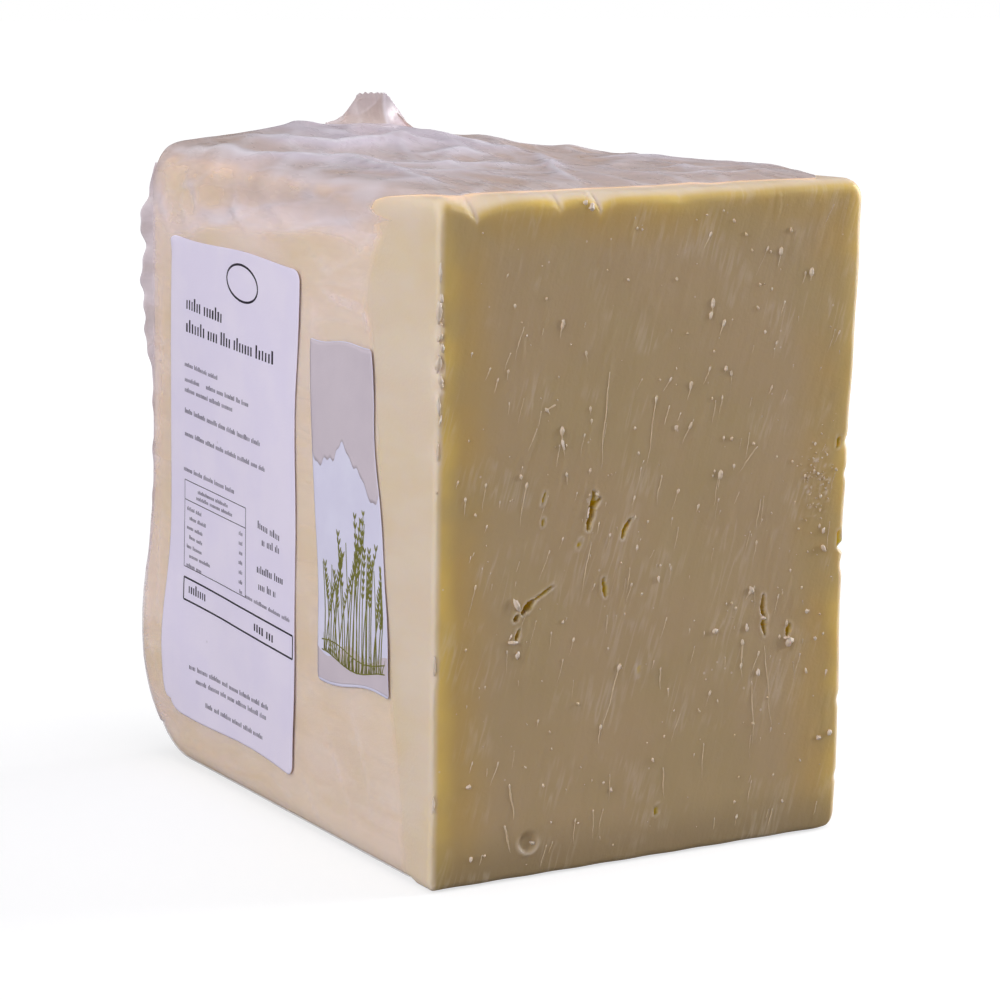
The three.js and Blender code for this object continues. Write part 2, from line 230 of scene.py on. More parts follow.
def noise(tree, spot, scale, detail=2.0):
    """Plain noise of about 0.3 to 0.7."""
    return node(tree, "TexNoise", {"Vector": spot, "Scale": scale, "Detail": detail}).outputs["Fac"]


def field(tree, name):
    """One of the mesh's own fields."""
    return node(tree, "Attribute", attribute_name=name).outputs["Fac"]


def finish(name, **fixed):
    """A material with one Principled shader, and its tree, shader and object coordinates."""
    material = bpy.data.materials.new(name)
    material.use_nodes = True
    tree = material.node_tree
    shader = tree.nodes["Principled BSDF"]
    for key, value in fixed.items():
        shader.inputs[key.replace("_", " ")].default_value = value
    spot = node(tree, "TexCoord").outputs["Object"]
    return material, tree, shader, spot


def feed(tree, shader, **outputs):
    """Wires outputs to the shader's inputs of these names."""
    for key, output in outputs.items():
        tree.links.new(output, shader.inputs[key.replace("_", " ")])


def colour(r, g, b):
    """A colour given in 0 to 255 as on a screen, as linear light with full alpha."""
    made = [((v / 255 + 0.055) / 1.055) ** 2.4 if v > 10 else v / 3295 for v in (r, g, b)]
    return (*made, 1.0)


# Node groups that several materials share.


def new_group(name, settings, results):
    """An empty node group that takes a Place and these settings, its input values and its result sockets."""
    group = bpy.data.node_groups.new(name, "ShaderNodeTree")
    sockets = [("Place", "INPUT", "Vector")] + [(key, "INPUT", kind) for key, kind in settings.items()]
    for key, way, kind in sockets + [(key, "OUTPUT", "Float") for key in results]:
        group.interface.new_socket(key, in_out=way, socket_type="NodeSocket" + kind)
    return group, group.nodes.new("NodeGroupInput").outputs, group.nodes.new("NodeGroupOutput").inputs


def streak_group():
    """Drawn-out noise: the Stretch vector scales the object coordinates, and the mask is high along thin lines."""
    settings = {"Stretch": "Vector", "Bend": "Float", "Thin": "Float"}
    group, given, made = new_group("drawn streaks", settings, ["Lines", "Cloud"])
    spot = node(group, "VectorMath", {0: given["Place"], 1: given["Stretch"]}, operation="MULTIPLY").outputs[0]
    values = {"Vector": spot, "Scale": 1.0, "Detail": 2.0, "Roughness": 0.5, "Distortion": given["Bend"]}
    cloud = node(group, "TexNoise", values).outputs["Fac"]
    off = sums(group, "ABSOLUTE", sums(group, "SUBTRACT", cloud, 0.5), 0.0)
    lines = sums(group, "SUBTRACT", 1.0, sums(group, "MULTIPLY", off, given["Thin"]), clamp=True)
    group.links.new(lines, made["Lines"])
    group.links.new(cloud, made["Cloud"])
    return group


def speck_group():
    """Scattered specks: cells of a Voronoi pattern whose random number is high show a dot of the given size."""
    settings = {"Cells": "Float", "Size": "Float", "Rarity": "Float"}
    group, given, made = new_group("scattered specks", settings, ["Specks"])
    cells = node(group, "TexVoronoi", {"Vector": given["Place"], "Scale": given["Cells"]})
    chosen = sums(group, "GREATER_THAN", cells.outputs["Color"], given["Rarity"])
    dot = between(group, cells.outputs["Distance"], sums(group, "MULTIPLY", given["Size"], 1.3), given["Size"])
    group.links.new(sums(group, "MULTIPLY", dot, chosen), made["Specks"])
    return group


STREAKS = streak_group()
SPECKS = speck_group()


def streaks(tree, spot, stretch, bend, thin):
    """The streak group's lines and cloud in this tree."""
    values = {"Place": spot, "Stretch": stretch, "Bend": bend, "Thin": thin}
    made = node(tree, "Group", values, node_tree=STREAKS)
    return made.outputs["Lines"], made.outputs["Cloud"]


def specks(tree, spot, cells, size, rarity):
    """The speck group's mask in this tree."""
    values = {"Place": spot, "Cells": cells, "Size": size, "Rarity": rarity}
    return node(tree, "Group", values, node_tree=SPECKS).outputs["Specks"]


def raised(tree, shader, height, distance, strength):
    """Feeds a height to the shader's normal through a Bump node."""
    bump = node(tree, "Bump", {"Height": height, "Distance": distance, "Strength": strength})
    feed(tree, shader, Normal=bump.outputs[0])


# Finishes.
DRAG = 0.27  # the knife's marks lean this much, as X over Z
PIT_YELLOW = (0.88, 0.64, 0.010, 1.0)  # linear light, past the screen's own yellows


def cheese_finish():
    """Waxy cheese. Field inset is the distance from the rim on the cut face in millimetres, up to 30, and
    -1 on the other sides; the cut face is painted yellower and lighter near its rim, a painted glow of
    light shining through the thin edges. Field pit marks the insides of holes, and field pale torn spots."""
    material, tree, shader, spot = finish(
        "cheese",
        Roughness=0.46,
        Subsurface_Weight=0.3,
        Subsurface_Radius=(1.0, 0.78, 0.3),
        Subsurface_Scale=0.006,
        Specular_IOR_Level=0.4,
    )
    inset, pale, pit = field(tree, "inset"), field(tree, "pale"), field(tree, "pit")
    wander = sums(tree, "SUBTRACT", noise(tree, spot, 45.0), 0.5)
    moved = sums(tree, "MULTIPLY_ADD", wander, 5.0, inset)
    # Painted glow: the cut face turns yellower and lighter towards its rim, as if lit through the thin edges.
    rim = between(tree, moved, 0.5, 7.0)
    deep = between(tree, moved, 4.0, 19.0)
    cut = blended(tree, rim, colour(236, 202, 110), colour(205, 169, 104))
    cut = blended(tree, deep, cut, colour(195, 167, 129))
    mottle = noise(tree, spot, 30.0, 3.0)
    cut = blended(tree, between(tree, mottle, 0.38, 0.66, 0.0, 0.6), cut, colour(190, 165, 121))
    # Painted shade: the cut face darkens within 18 mm of the floor, where little light reaches its foot.
    height_of = node(tree, "SeparateXYZ", {0: spot}).outputs["Z"]
    cut = blended(tree, between(tree, height_of, 0.0, 0.018, 0.75, 0.0), cut, colour(156, 134, 100))
    leaned = node(tree, "Mapping", {"Vector": spot, "Rotation": (0.0, -DRAG, 0.0)}).outputs[0]
    lines, fine = streaks(tree, leaned, (420.0, 30.0, 45.0), 0.0, 12.0)
    on_cut = between(tree, inset, 0.0, 2.0)
    smears = sums(tree, "MULTIPLY", lines, between(tree, noise(tree, spot, 70.0), 0.5, 0.7))
    cut = blended(tree, sums(tree, "MULTIPLY", smears, 0.24), cut, colour(236, 218, 200))
    dots = specks(tree, spot, 420.0, 0.16, 0.90)
    cut = blended(tree, sums(tree, "MULTIPLY", dots, 0.4), cut, colour(240, 224, 212))
    rind = blended(tree, between(tree, mottle, 0.4, 0.65), colour(233, 212, 190), colour(232, 209, 176))
    rind = blended(tree, between(tree, fine, 0.35, 0.7, 0.0, 0.3), rind, colour(236, 222, 206))
    skin = blended(tree, on_cut, rind, cut)
    skin = blended(tree, pale, skin, colour(233, 214, 198))
    skin = blended(tree, pit, skin, PIT_YELLOW)
    feed(tree, shader, Base_Color=skin, Roughness=between(tree, fine, 0.3, 0.7, 0.38, 0.52))
    grain = sums(tree, "MULTIPLY", noise(tree, spot, 900.0), 0.3)
    raised(tree, shader, sums(tree, "MULTIPLY_ADD", fine, 0.6, grain), 0.0005, 0.55)
    return material


def torn_finish():
    """Torn cheese of the crumbs and smears: near the cut's own colour where field pale is low."""
    material, tree, shader, spot = finish(
        "torn cheese",
        Roughness=0.48,
        Subsurface_Weight=0.2,
        Subsurface_Radius=(1.0, 0.7, 0.4),
        Subsurface_Scale=0.0008,
    )
    mottle = noise(tree, spot, 400.0)
    tone = blended(tree, between(tree, mottle, 0.35, 0.65), colour(224, 204, 186), colour(236, 222, 212))
    tone = blended(tree, field(tree, "pale"), colour(212, 185, 148), tone)
    feed(tree, shader, Base_Color=tone)
    raised(tree, shader, mottle, 0.0002, 0.5)
    return material


def film_finish():
    """Clear film, milky where field milk is high: loose film is milky, and clinging film nearly clear.
    Field shade gives the brightly lit top painted shade, a duller tone that is darker and warm in valleys,
    where field rise is low, and lighter on the crests as painted light."""
    material, tree, shader, spot = finish("film", Roughness=0.3, Specular_IOR_Level=0.5)
    milk, crease_highlight = field(tree, "milk"), field(tree, "crease_highlight")
    long_lines, soft_cloud = streaks(tree, spot, (70.0, 22.0, 95.0), 0.4, 13.0)
    _, fine_cloud = streaks(tree, spot, (200.0, 60.0, 260.0), 0.0, 9.0)
    veil = sums(tree, "MULTIPLY_ADD", sums(tree, "SUBTRACT", soft_cloud, 0.5), 0.22, milk)
    some = sums(tree, "MULTIPLY", long_lines, sums(tree, "MULTIPLY", milk, 0.22))
    veil = sums(tree, "ADD", veil, some)
    veil = sums(tree, "MULTIPLY_ADD", crease_highlight, 0.35, veil)
    cloudy = between(tree, soft_cloud, 0.35, 0.65)
    tone = blended(tree, cloudy, colour(229, 213, 212), colour(234, 222, 228))
    # Painted shade in the valleys and painted light on the crests of the top.
    low = blended(tree, cloudy, colour(198, 179, 172), colour(204, 187, 184))
    peak = blended(tree, cloudy, colour(206, 194, 204), colour(215, 205, 217))
    tone = blended(tree, field(tree, "shade"), tone, blended(tree, field(tree, "rise"), low, peak))
    tone = blended(tree, some, tone, colour(246, 240, 250))
    # Painted highlight: the fold crests, already made milkier above, turn nearly white.
    tone = blended(tree, sums(tree, "MULTIPLY", crease_highlight, 0.7), tone, colour(248, 244, 252))
    feed(tree, shader, Base_Color=tone, Alpha=between(tree, veil, 0.0, 1.05, 0.04, 0.9))
    feed(tree, shader, Roughness=between(tree, fine_cloud, 0.3, 0.7, 0.24, 0.38))
    raised(tree, shader, sums(tree, "MULTIPLY_ADD", fine_cloud, 0.35, soft_cloud), 0.0005, 0.25)
    return material


def paper_finish(name, tone, shade):
    """Label stock: a faint mottle of two tones and a soft waviness."""
    material, tree, shader, spot = finish(name, Roughness=0.5, Specular_IOR_Level=0.35)
    mottle = noise(tree, spot, 60.0, 3.0)
    dust = specks(tree, spot, 260.0, 0.1, 0.93)
    mixed = blended(tree, between(tree, mottle, 0.35, 0.65), tone, shade)
    mixed = blended(tree, sums(tree, "MULTIPLY", dust, 0.25), mixed, colour(150, 140, 150))
    feed(tree, shader, Base_Color=mixed)
    raised(tree, shader, sums(tree, "MULTIPLY_ADD", mottle, 2.0, noise(tree, spot, 1500.0, 1.0)), 0.0001, 0.4)
    return material


def ink_finish(name, tone, shade):
    """Printed ink, a little worn."""
    material, tree, shader, spot = finish(name, Roughness=0.55, Specular_IOR_Level=0.3)
    worn_off = between(tree, noise(tree, spot, 700.0), 0.4, 0.7)
    feed(tree, shader, Base_Color=blended(tree, worn_off, tone, shade))
    return material


# The block's form.


def rounded(x, z, y, out=0.0):
    """A rectangle's points drawn in to its round corners: an offset from the corner's centre keeps its
    larger part as its length. The section is moved out by out. Returns the place and the outward normal."""
    wide = x * (1 + 2 * out / WIDTH)
    middle = (HEIGHT + UNDERFILM) / 2
    high = middle + (z - middle) * (1 + 2 * out / (HEIGHT - UNDERFILM))
    along = np.clip(y / LENGTH + 0.5, 0, 1)
    radius = np.zeros(np.broadcast(x, z, y).shape)
    for (sx, sz), (at_cut, at_back) in RADII.items():
        here = (np.sign(x + 1e-9) == sx) & ((z > middle) == bool(sz))
        radius = np.where(here, np.maximum(lerp(at_cut, at_back, along) + out, 0.3), radius)
    inner_x = np.clip(wide, radius - WIDTH / 2 - out, WIDTH / 2 + out - radius)
    inner_z = np.clip(high, UNDERFILM - out + radius, HEIGHT + out - radius)
    dx, dz = wide - inner_x, high - inner_z
    reach = np.maximum(np.hypot(dx, dz), 1e-9)
    pull = np.maximum(np.abs(dx), np.abs(dz)) / reach
    points = np.stack([inner_x + dx * pull, y + 0 * dx, inner_z + dz * pull], -1)
    return points, np.stack([dx / reach, 0 * dx, dz / reach], -1)


def back_radius(x, z):
    """Radius between the sides and the back at a place of the section."""
    left = smooth((-x / (WIDTH / 2) - 0.8) / 0.2)
    low = smooth((20 - z) / 20)
    return lerp(BACK_ROUND["others"], BACK_ROUND["left_and_low"], np.maximum(left, low))


def worn(p):
    """The low back edge worn round: the square corner of the Y-Z plane drawn in to a quarter circle."""
    x, y, z = p[..., 0], p[..., 1], p[..., 2]
    radius = lerp(WORN["right"], WORN["left"], smooth(0.5 - x / WIDTH))
    back = y - (LENGTH / 2 - radius)
    down = UNDERFILM + radius - z
    inside = (back > 0) & (down > 0)
    pull = np.where(inside, np.maximum(back, down) / np.maximum(np.hypot(back, down), 1e-9), 1)
    return np.stack([x, y + back * (pull - 1), z - down * (pull - 1)], -1)


def uneven(p):
    """Points of the straight block moved to where the pressed one has them: swells, a crown, and a top
    that falls to the back and rises at the cut."""
    across = p[..., 0] / (WIDTH / 2)
    along = np.clip(p[..., 1] / LENGTH + 0.5, 0, 1)
    up = np.clip(p[..., 2] / HEIGHT, 0, 1)
    left, right = smooth(-across) ** 3, smooth(across) ** 3
    rear = bell((p[..., 2] - BULGE["height"]) / BULGE["reach"]) * smooth((along - 0.7) / 0.3) * left
    q = worn(p)
    q[..., 0] -= left * LEFT_CROWN * np.sin(np.pi * along) * np.sin(np.pi * up) + BULGE["left"] * rear
    flare = RIGHT_SIDE["flare"] * smooth((up - RIGHT_SIDE["flare_from"]) / (1 - RIGHT_SIDE["flare_from"]))
    wave = RIGHT_SIDE["wave"] * np.sin(RIGHT_SIDE["turns"] * up)
    q[..., 0] += right * (RIGHT_SIDE["swell"] + flare + wave)
    swell = BACK_CROWN * smooth((along - 0.9) / 0.1) * np.cos(np.pi / 2 * across) * np.sin(np.pi * up)
    q[..., 1] += BULGE["back"] * rear + swell
    fall = lerp(TOP_FALL["left"], TOP_FALL["right"], smooth(0.5 + across / 2))
    q[..., 2] += (TOP_RISE * smooth(across) * (1 - along) ** 2 - fall * along**1.5) * up**4
    return q


def border(bottom, right, top, left):
    """Spots round the section's rectangle, anticlockwise seen from the cut, from grid lines on each side."""
    right, top, left = right[1:], top[-2::-1], left[-2:0:-1]
    x = np.concatenate([bottom, np.full(len(right), WIDTH / 2), top, np.full(len(left), -WIDTH / 2)])
    z = np.concatenate([np.full(len(bottom), UNDERFILM), right, np.full(len(top), HEIGHT), left])
    return x, z


def wrapped(x, z, start, radius, shares, turns, inward, out=0.0):
    """Rings of the section, one spot for each X and Z, standing off by out: by shares of the way from Y
    start to where the back's rounding begins, over its quarter circle, and in to the middle of the back.
    Returns the rings, their outward normals and that middle."""
    turn = LENGTH / 2 - radius
    straight, normal = rounded(x, z, lerp(start, turn, shares[:, None]), out)
    angle = np.linspace(0, np.pi / 2, turns + 1)[1:, None]
    bent, facing = rounded(x, z, turn + 0 * angle, out * np.cos(angle) - radius * (1 - np.cos(angle)))
    bent[..., 1] = turn + (radius + out) * np.sin(angle)
    facing = facing * np.cos(angle)[..., None]
    facing[..., 1] = np.sin(angle)
    middle = bent[-1].mean(0)
    closing = lerp(bent[-1], middle, np.array(inward)[:, None, None])
    normals = np.concatenate([normal, facing, 0 * closing + BACKWARD])
    return np.concatenate([straight, bent, closing]), normals, middle


def from_rim(x, z):
    """Distance of a place from the nearest side of the section's rectangle."""
    return np.minimum(WIDTH / 2 - np.abs(x), np.minimum(z - UNDERFILM, HEIGHT - z))


# The cut face's own features, as X and Z of their ends, then half width and depth.
SLITS = [
    ([(-19.4, 110.9), (-20.0, 106.5), (-21.2, 101.2)], 1.1, 5.0),
    ([(-17.7, 109.4), (-19.6, 106.8)], 0.7, 3.5),
    ([(-6.7, 102.4), (-8.6, 99.8), (-9.3, 97.4)], 0.75, 3.0),
    ([(-15.5, 85.7), (-15.0, 83.0), (-14.6, 80.7)], 0.7, 2.6),
    ([(-39.4, 81.3), (-42.6, 78.6)], 1.1, 5.5),
    ([(-44.4, 77.5), (-45.4, 76.7)], 0.85, 5.0),
    ([(-32.6, 85.4), (-36.0, 83.4), (-38.8, 81.9)], 0.4, 2.0),
    ([(-44.1, 73.2), (-44.7, 70.8)], 0.7, 3.5),
    ([(41.8, 75.2), (41.6, 71.2), (42.5, 68.4)], 0.75, 5.0),
    ([(42.2, 68.6), (42.0, 66.6), (42.7, 63.6)], 0.8, 4.5),
    ([(51.6, 65.0), (50.9, 62.6)], 1.0, 3.2),
    ([(5.9, 15.6), (5.2, 13.0)], 0.55, 1.8),
    ([(-36.0, 112.6), (-36.8, 109.4)], 0.4, 1.2),
    ([(-36.4, 104.9), (-36.6, 103.2)], 0.45, 1.4),
    ([(-23.5, 98.2), (-24.6, 95.6)], 0.35, 1.0),
    ([(-2.4, 58.7), (-2.9, 55.5)], 0.4, 1.0),
    ([(66.8, 121.0), (67.0, 118.8)], 0.8, 2.0),
    ([(68.6, 92.2), (69.2, 87.4)], 0.9, 1.6),
]
DIMPLE = {"x": -39.5, "z": 10.6, "wide": 3.9, "deep": 1.1}
# Notches of the upper rim: X, depth, reach to the left and to the right, how far the notch runs back.
NOTCHES = [
    (-60.0, 5.4, 13.0, 22.0, 9.0),
    (-32.6, 2.4, 8.0, 6.0, 7.0),
    (-19.6, 3.6, 6.5, 9.0, 7.0),
    (8.0, 0.9, 9.0, 10.0, 5.0),
    (31.0, 0.5, 9.0, 9.0, 5.0),
]
# Nicks of the left rim: Z, depth and half height.
NICKS = [(161, 0.7, 4.0), (150.5, 1.3, 3.2), (144, 0.8, 3.0), (128, 0.5, 6.0), (64, 0.4, 5.0), (24, 0.4, 6.0)]
# Nicks of the right edge, in the same way.
RIGHT_NICKS = [
    (119.5, 0.8, 2.6), (109.8, 0.7, 3.0), (87.5, 2.1, 2.2), (82.0, 0.7, 4.0), (40, 0.6, 3.0), (16, 0.5, 2.5),
]
PEBBLES = {"x": 59.5, "z": 108.5, "wide": 5.0, "high": 10.5}
# Where the grid of the cut face is finer: middle, reach and spacing there, across and up.
GRID_STEP = 0.95
FINE_ACROSS = [
    (-72, 2.2, 0.42), (72, 2.2, 0.45), (-42, 4.5, 0.42), (-20, 3.2, 0.42), (-8, 2.4, 0.45), (42, 2.2, 0.4),
    (51, 2.0, 0.45), (-15.3, 1.2, 0.45), (-37, 3.6, 0.5),
]
FINE_UP = [
    (1, 2.2, 0.45), (197, 2.4, 0.4), (106, 6.0, 0.48), (78, 9.5, 0.48), (66, 4.5, 0.5), (100, 4.0, 0.5),
    (11, 5.0, 0.6),
]
NEAR_RINGS = np.array([0.7, 1.6, 3.0, 5.0, 7.5, 10.5])  # how far back the fine rings lie
THINNED = 4  # only every fourth spot of the last of them goes on to the back
BARE_UNTIL = -82.5  # Y where the film begins to pass under the block


def cut_relief(x, z):
    """How far the cut face lies back from its plane, in millimetres, how pale it is and how deep in a pit:
    each slit is a trough along its line with a raised lip, the dimple a shallow bowl with a curled lower
    lip, and over all lie the knife's broad waves, its leaned ridges in patches and a pebbly spot."""
    back, pale, pit = np.zeros(x.shape), np.zeros(x.shape), np.zeros(x.shape)
    ragged = 0.22 * ripple(x, z, 0.8, 3) + 0.12 * ripple(x, z, 0.35, 4)
    for line, half, depth in SLITS:
        gap, passed = from_line(x, z, line)
        taper = half * (0.55 + 0.45 * np.sin(np.pi * np.clip(passed, 0.05, 0.95)))
        edge = gap + ragged * min(1.0, half)
        inside = smooth((taper - edge) / 0.45 + 0.25)
        back += 0.55 * depth * inside
        pit = np.maximum(pit, inside)
        lip = bell((edge - taper - 0.45) / 0.4)
        back -= 0.22 * lip
        pale = np.maximum(pale, 0.55 * lip * (0.6 + 0.4 * ripple(x, z, 1.6, 5)))
    below = DIMPLE["z"] - z
    away = np.hypot(x - DIMPLE["x"], below * 1.05)
    bowl = smooth((DIMPLE["wide"] - away) / 2.2)
    back += DIMPLE["deep"] * bowl * (1 - 0.35 * smooth(0.5 + below / 5))
    curl = bell((away - DIMPLE["wide"] * 0.92) / 0.55) * smooth(0.55 + below / 7)
    back -= 0.45 * curl
    pale = np.maximum(pale, 0.55 * curl)
    back += 0.30 * ripple(x, z, 34, 11) + 0.13 * ripple(x - DRAG * z, z / 4, 6, 12)
    worked = smooth(0.45 + 0.8 * ripple(x, z, 19, 14))
    lean = x - DRAG * z + 1.4 * ripple(x, z, 16, 15)
    back -= 0.20 * worked * smooth((ripple(lean, z / 6, 2.2, 13) - 0.25) / 0.4)
    back -= 0.08 * smooth((ripple(lean, z / 4, 1.2, 16) - 0.35) / 0.3) * worked
    back += 0.07 * smooth((ripple(lean, z / 5, 3.0, 17) - 0.4) / 0.4)
    pebbly = bell(np.hypot((x - PEBBLES["x"]) / PEBBLES["wide"], (z - PEBBLES["z"]) / PEBBLES["high"]) ** 2)
    grain = np.maximum(ripple(x, z, 1.3, 21), 0)
    back -= pebbly * 0.5 * grain
    pale = np.maximum(pale, pebbly * smooth((grain - 0.35) / 0.3) * 0.8)
    return back, np.clip(pale, 0, 1), smooth(pit * 1.3 - 0.2)


def rim_form(p):
    """The upper rim's rolled curds: between two notches the edge is a round lump, so the drop grows as
    one less the root of one less the square of the share of the way to the notch. It dies out down the
    face and back along the top. Also returns the torn skin along each notch."""
    x, y, z = p[..., 0], p[..., 1], p[..., 2]
    drop, torn = np.zeros(x.shape), np.zeros(x.shape)
    high = smooth((z - (HEIGHT - 15)) / 15)
    for at, depth, to_left, to_right, reach in NOTCHES:
        wide = np.where(x < at, to_left, to_right)
        share = np.clip(1 - np.abs(x - at) / wide, 0, 1)
        run = smooth(1 - (y - FACE) / (reach * (0.35 + 0.65 * share)))
        drop = np.maximum(drop, depth * (1 - np.sqrt(1 - share**2 * 0.999)) * run)
        skin = bell((x - at - 0.4) / 0.55) * smooth((z - HEIGHT + 5) / 3)
        torn = np.maximum(torn, skin * smooth(run * 3) * smooth(depth / 3))
    q = p.copy()
    q[..., 2] -= drop * high
    # Lumps stand a little forward of the face near the rim, and the notches lie back.
    q[..., 1] += (0.10 * drop - 0.25) * high * smooth(1 - (y - FACE) / 4)
    return q, torn


def nicked(p):
    """Small bites out of the left and the right rim of the cut, and the torn skin of those on the left."""
    x, y, z = p[..., 0], p[..., 1], p[..., 2]
    front = smooth(1 - (y - FACE) / 4.0)
    q, torn = p.copy(), np.zeros(x.shape)
    ragged = 0.6 + 0.7 * ripple(x + y, z, 1.5, 31)
    for at, depth, half in NICKS:
        share = bell((z - at) / half) * smooth((-x - WIDTH / 2 + 3.2) / 2.4)
        torn = np.maximum(torn, smooth(1.6 * share * front * ragged * min(1, depth)))
        q[..., 0] += depth * share * front
        q[..., 1] += 0.5 * depth * share * front
    for at, depth, half in RIGHT_NICKS:
        share = smooth(1 - np.abs(z - at) / half) * smooth((x - WIDTH / 2 + 5) / 4)
        q[..., 0] -= depth * share * smooth(1 - (y - FACE) / 9)
    return q, torn


def sunk(p):
    """The bare front of the block comes down to the floor, in front of the film that passes under it."""
    q = p.copy()
    bare = 1 - smooth((p[..., 1] - BARE_UNTIL) / 2)
    q[..., 2] -= UNDERFILM * bare * (1 - smooth((p[..., 2] - UNDERFILM) / 4))
    return q


def rim_radius(x, z):
    """How round the rim of the cut is: rolled over along the top, tighter on the left and below."""
    top = smooth((z - (HEIGHT - 8)) / 8)
    right = smooth((x - WIDTH / 2 + 8) / 8)
    wave = 0.25 * np.sin(0.21 * z + 0.5) + 0.2 * np.sin(0.37 * x)
    return lerp(lerp(1.5, 3.8, right), 4.8, top) + wave


def cut_face():
    """The cut face: a grid drawn in to the section's outline, lying back by a quarter circle along its rim
    and by its relief. Returns its grid lines, its points, the Y where the sides begin, and its fields."""
    xs = crowded(-WIDTH / 2, WIDTH / 2, GRID_STEP, FINE_ACROSS)
    zs = crowded(UNDERFILM, HEIGHT, GRID_STEP, FINE_UP)
    while (2 * (len(xs) + len(zs)) - 4) % THINNED:
        zs = np.interp(np.linspace(0, 1, len(zs) + 1), np.linspace(0, 1, len(zs)), zs)
    x, z = np.meshgrid(xs, zs)
    inset = from_rim(x, z)
    # The yellow band of the rim is painted glow, for light shining through the thin edges. It is wider on the left
    # and right, and fades out along the foot.
    band = np.minimum(np.minimum(0.8 * (x + WIDTH / 2), 0.75 * (WIDTH / 2 - x)), HEIGHT - z)
    band = np.minimum(band, z - UNDERFILM + 13)
    points, _ = rounded(x, z, np.full(x.shape, FACE))
    px, pz = points[..., 0], points[..., 2]
    arris = rim_radius(px, pz)
    skin = lerp(0.2 * arris, 0.2, smooth((z - HEIGHT + 8) / 6))
    under = np.clip(arris - inset, 0, None)
    back, pale, pit = cut_relief(px, pz)
    points[..., 1] += arris - np.sqrt(np.maximum(arris**2 - under**2, 0)) + back * smooth(inset / 1.5)
    return xs, zs, points, FACE + arris, np.clip(band - skin, -1, 30), pale, pit


def cheese_block(material):
    """The cheese as one closed surface: the border of the cut face runs back as rings to the rear face.
    After a few rings only every fourth spot goes on."""
    xs, zs, face, start, inset, pale, pit = cut_face()
    cells = np.arange(start.size).reshape(start.shape)
    ring = np.concatenate([cells[0], cells[1:, -1], cells[-1, -2::-1], cells[-2:0:-1, 0]])
    start = start.ravel()[ring]
    ring_x, ring_z = border(xs, zs, xs, zs)
    close, _ = rounded(ring_x, ring_z, start + NEAR_RINGS[:, None])
    far_x, far_z = ring_x[::THINNED], ring_z[::THINNED]
    radius = back_radius(far_x, far_z)
    shares = np.linspace(0, 1, 46)
    far, _, middle = wrapped(far_x, far_z, start[::THINNED] + 13.5, radius, shares, 5, (0.12, 0.3, 0.5, 0.7, 0.88))
    spots = np.concatenate([part.reshape(-1, 3) for part in (face, close, far, middle)])
    count, far_count = len(ring), len(far_x)
    near_start = cells.size
    far_start = near_start + close[..., 0].size
    first, follow = np.arange(count), np.arange(1, count + 1) % count
    seam = np.stack([ring, near_start + first, near_start + follow, ring[follow]], -1)
    c = np.arange(far_count)
    c0, c1 = far_start + c, far_start + (c + 1) % far_count
    f = [far_start - count + (THINNED * c + k) % count for k in range(THINNED + 1)]
    bridge = [(f[0], c0, f[1]), (f[1], c0, f[2]), (c0, c1, f[2]), (f[2], c1, f[3]), (f[3], c1, f[4])]
    faces = [
        quads(*cells.shape),
        seam,
        quads(len(close), count, near_start, wrap=True, flip=True),
        np.concatenate([np.stack(triangles, -1) for triangles in bridge]),
        quads(len(far), far_count, far_start, wrap=True, flip=True),
        cap(len(spots) - 1 - far_count, far_count, len(spots) - 1),
    ]
    rest = np.zeros(len(spots) - near_start)
    shaped, torn = rim_form(spots)
    shaped, bitten = nicked(shaped)
    fields = {
        "inset": np.append(inset, rest - 1),
        "pale": np.maximum(np.append(pale, rest), 0.7 * np.maximum(torn, bitten)),
        "pit": np.append(pit, rest),
    }
    return piece("cheese", uneven(sunk(shaped)), faces, material, "cheese", ["cheese_block"], **fields)


def cut_surface(x, z):
    """The cut face's finished place at X and Z, for what lies on it, its round rim counted."""
    arris = rim_radius(x, z)
    under = np.clip(arris - from_rim(x, z), 0, arris)
    back = cut_relief(x, z)[0] + arris - np.sqrt(arris**2 - under**2)
    return uneven(np.stack([x, FACE + back, z], -1))


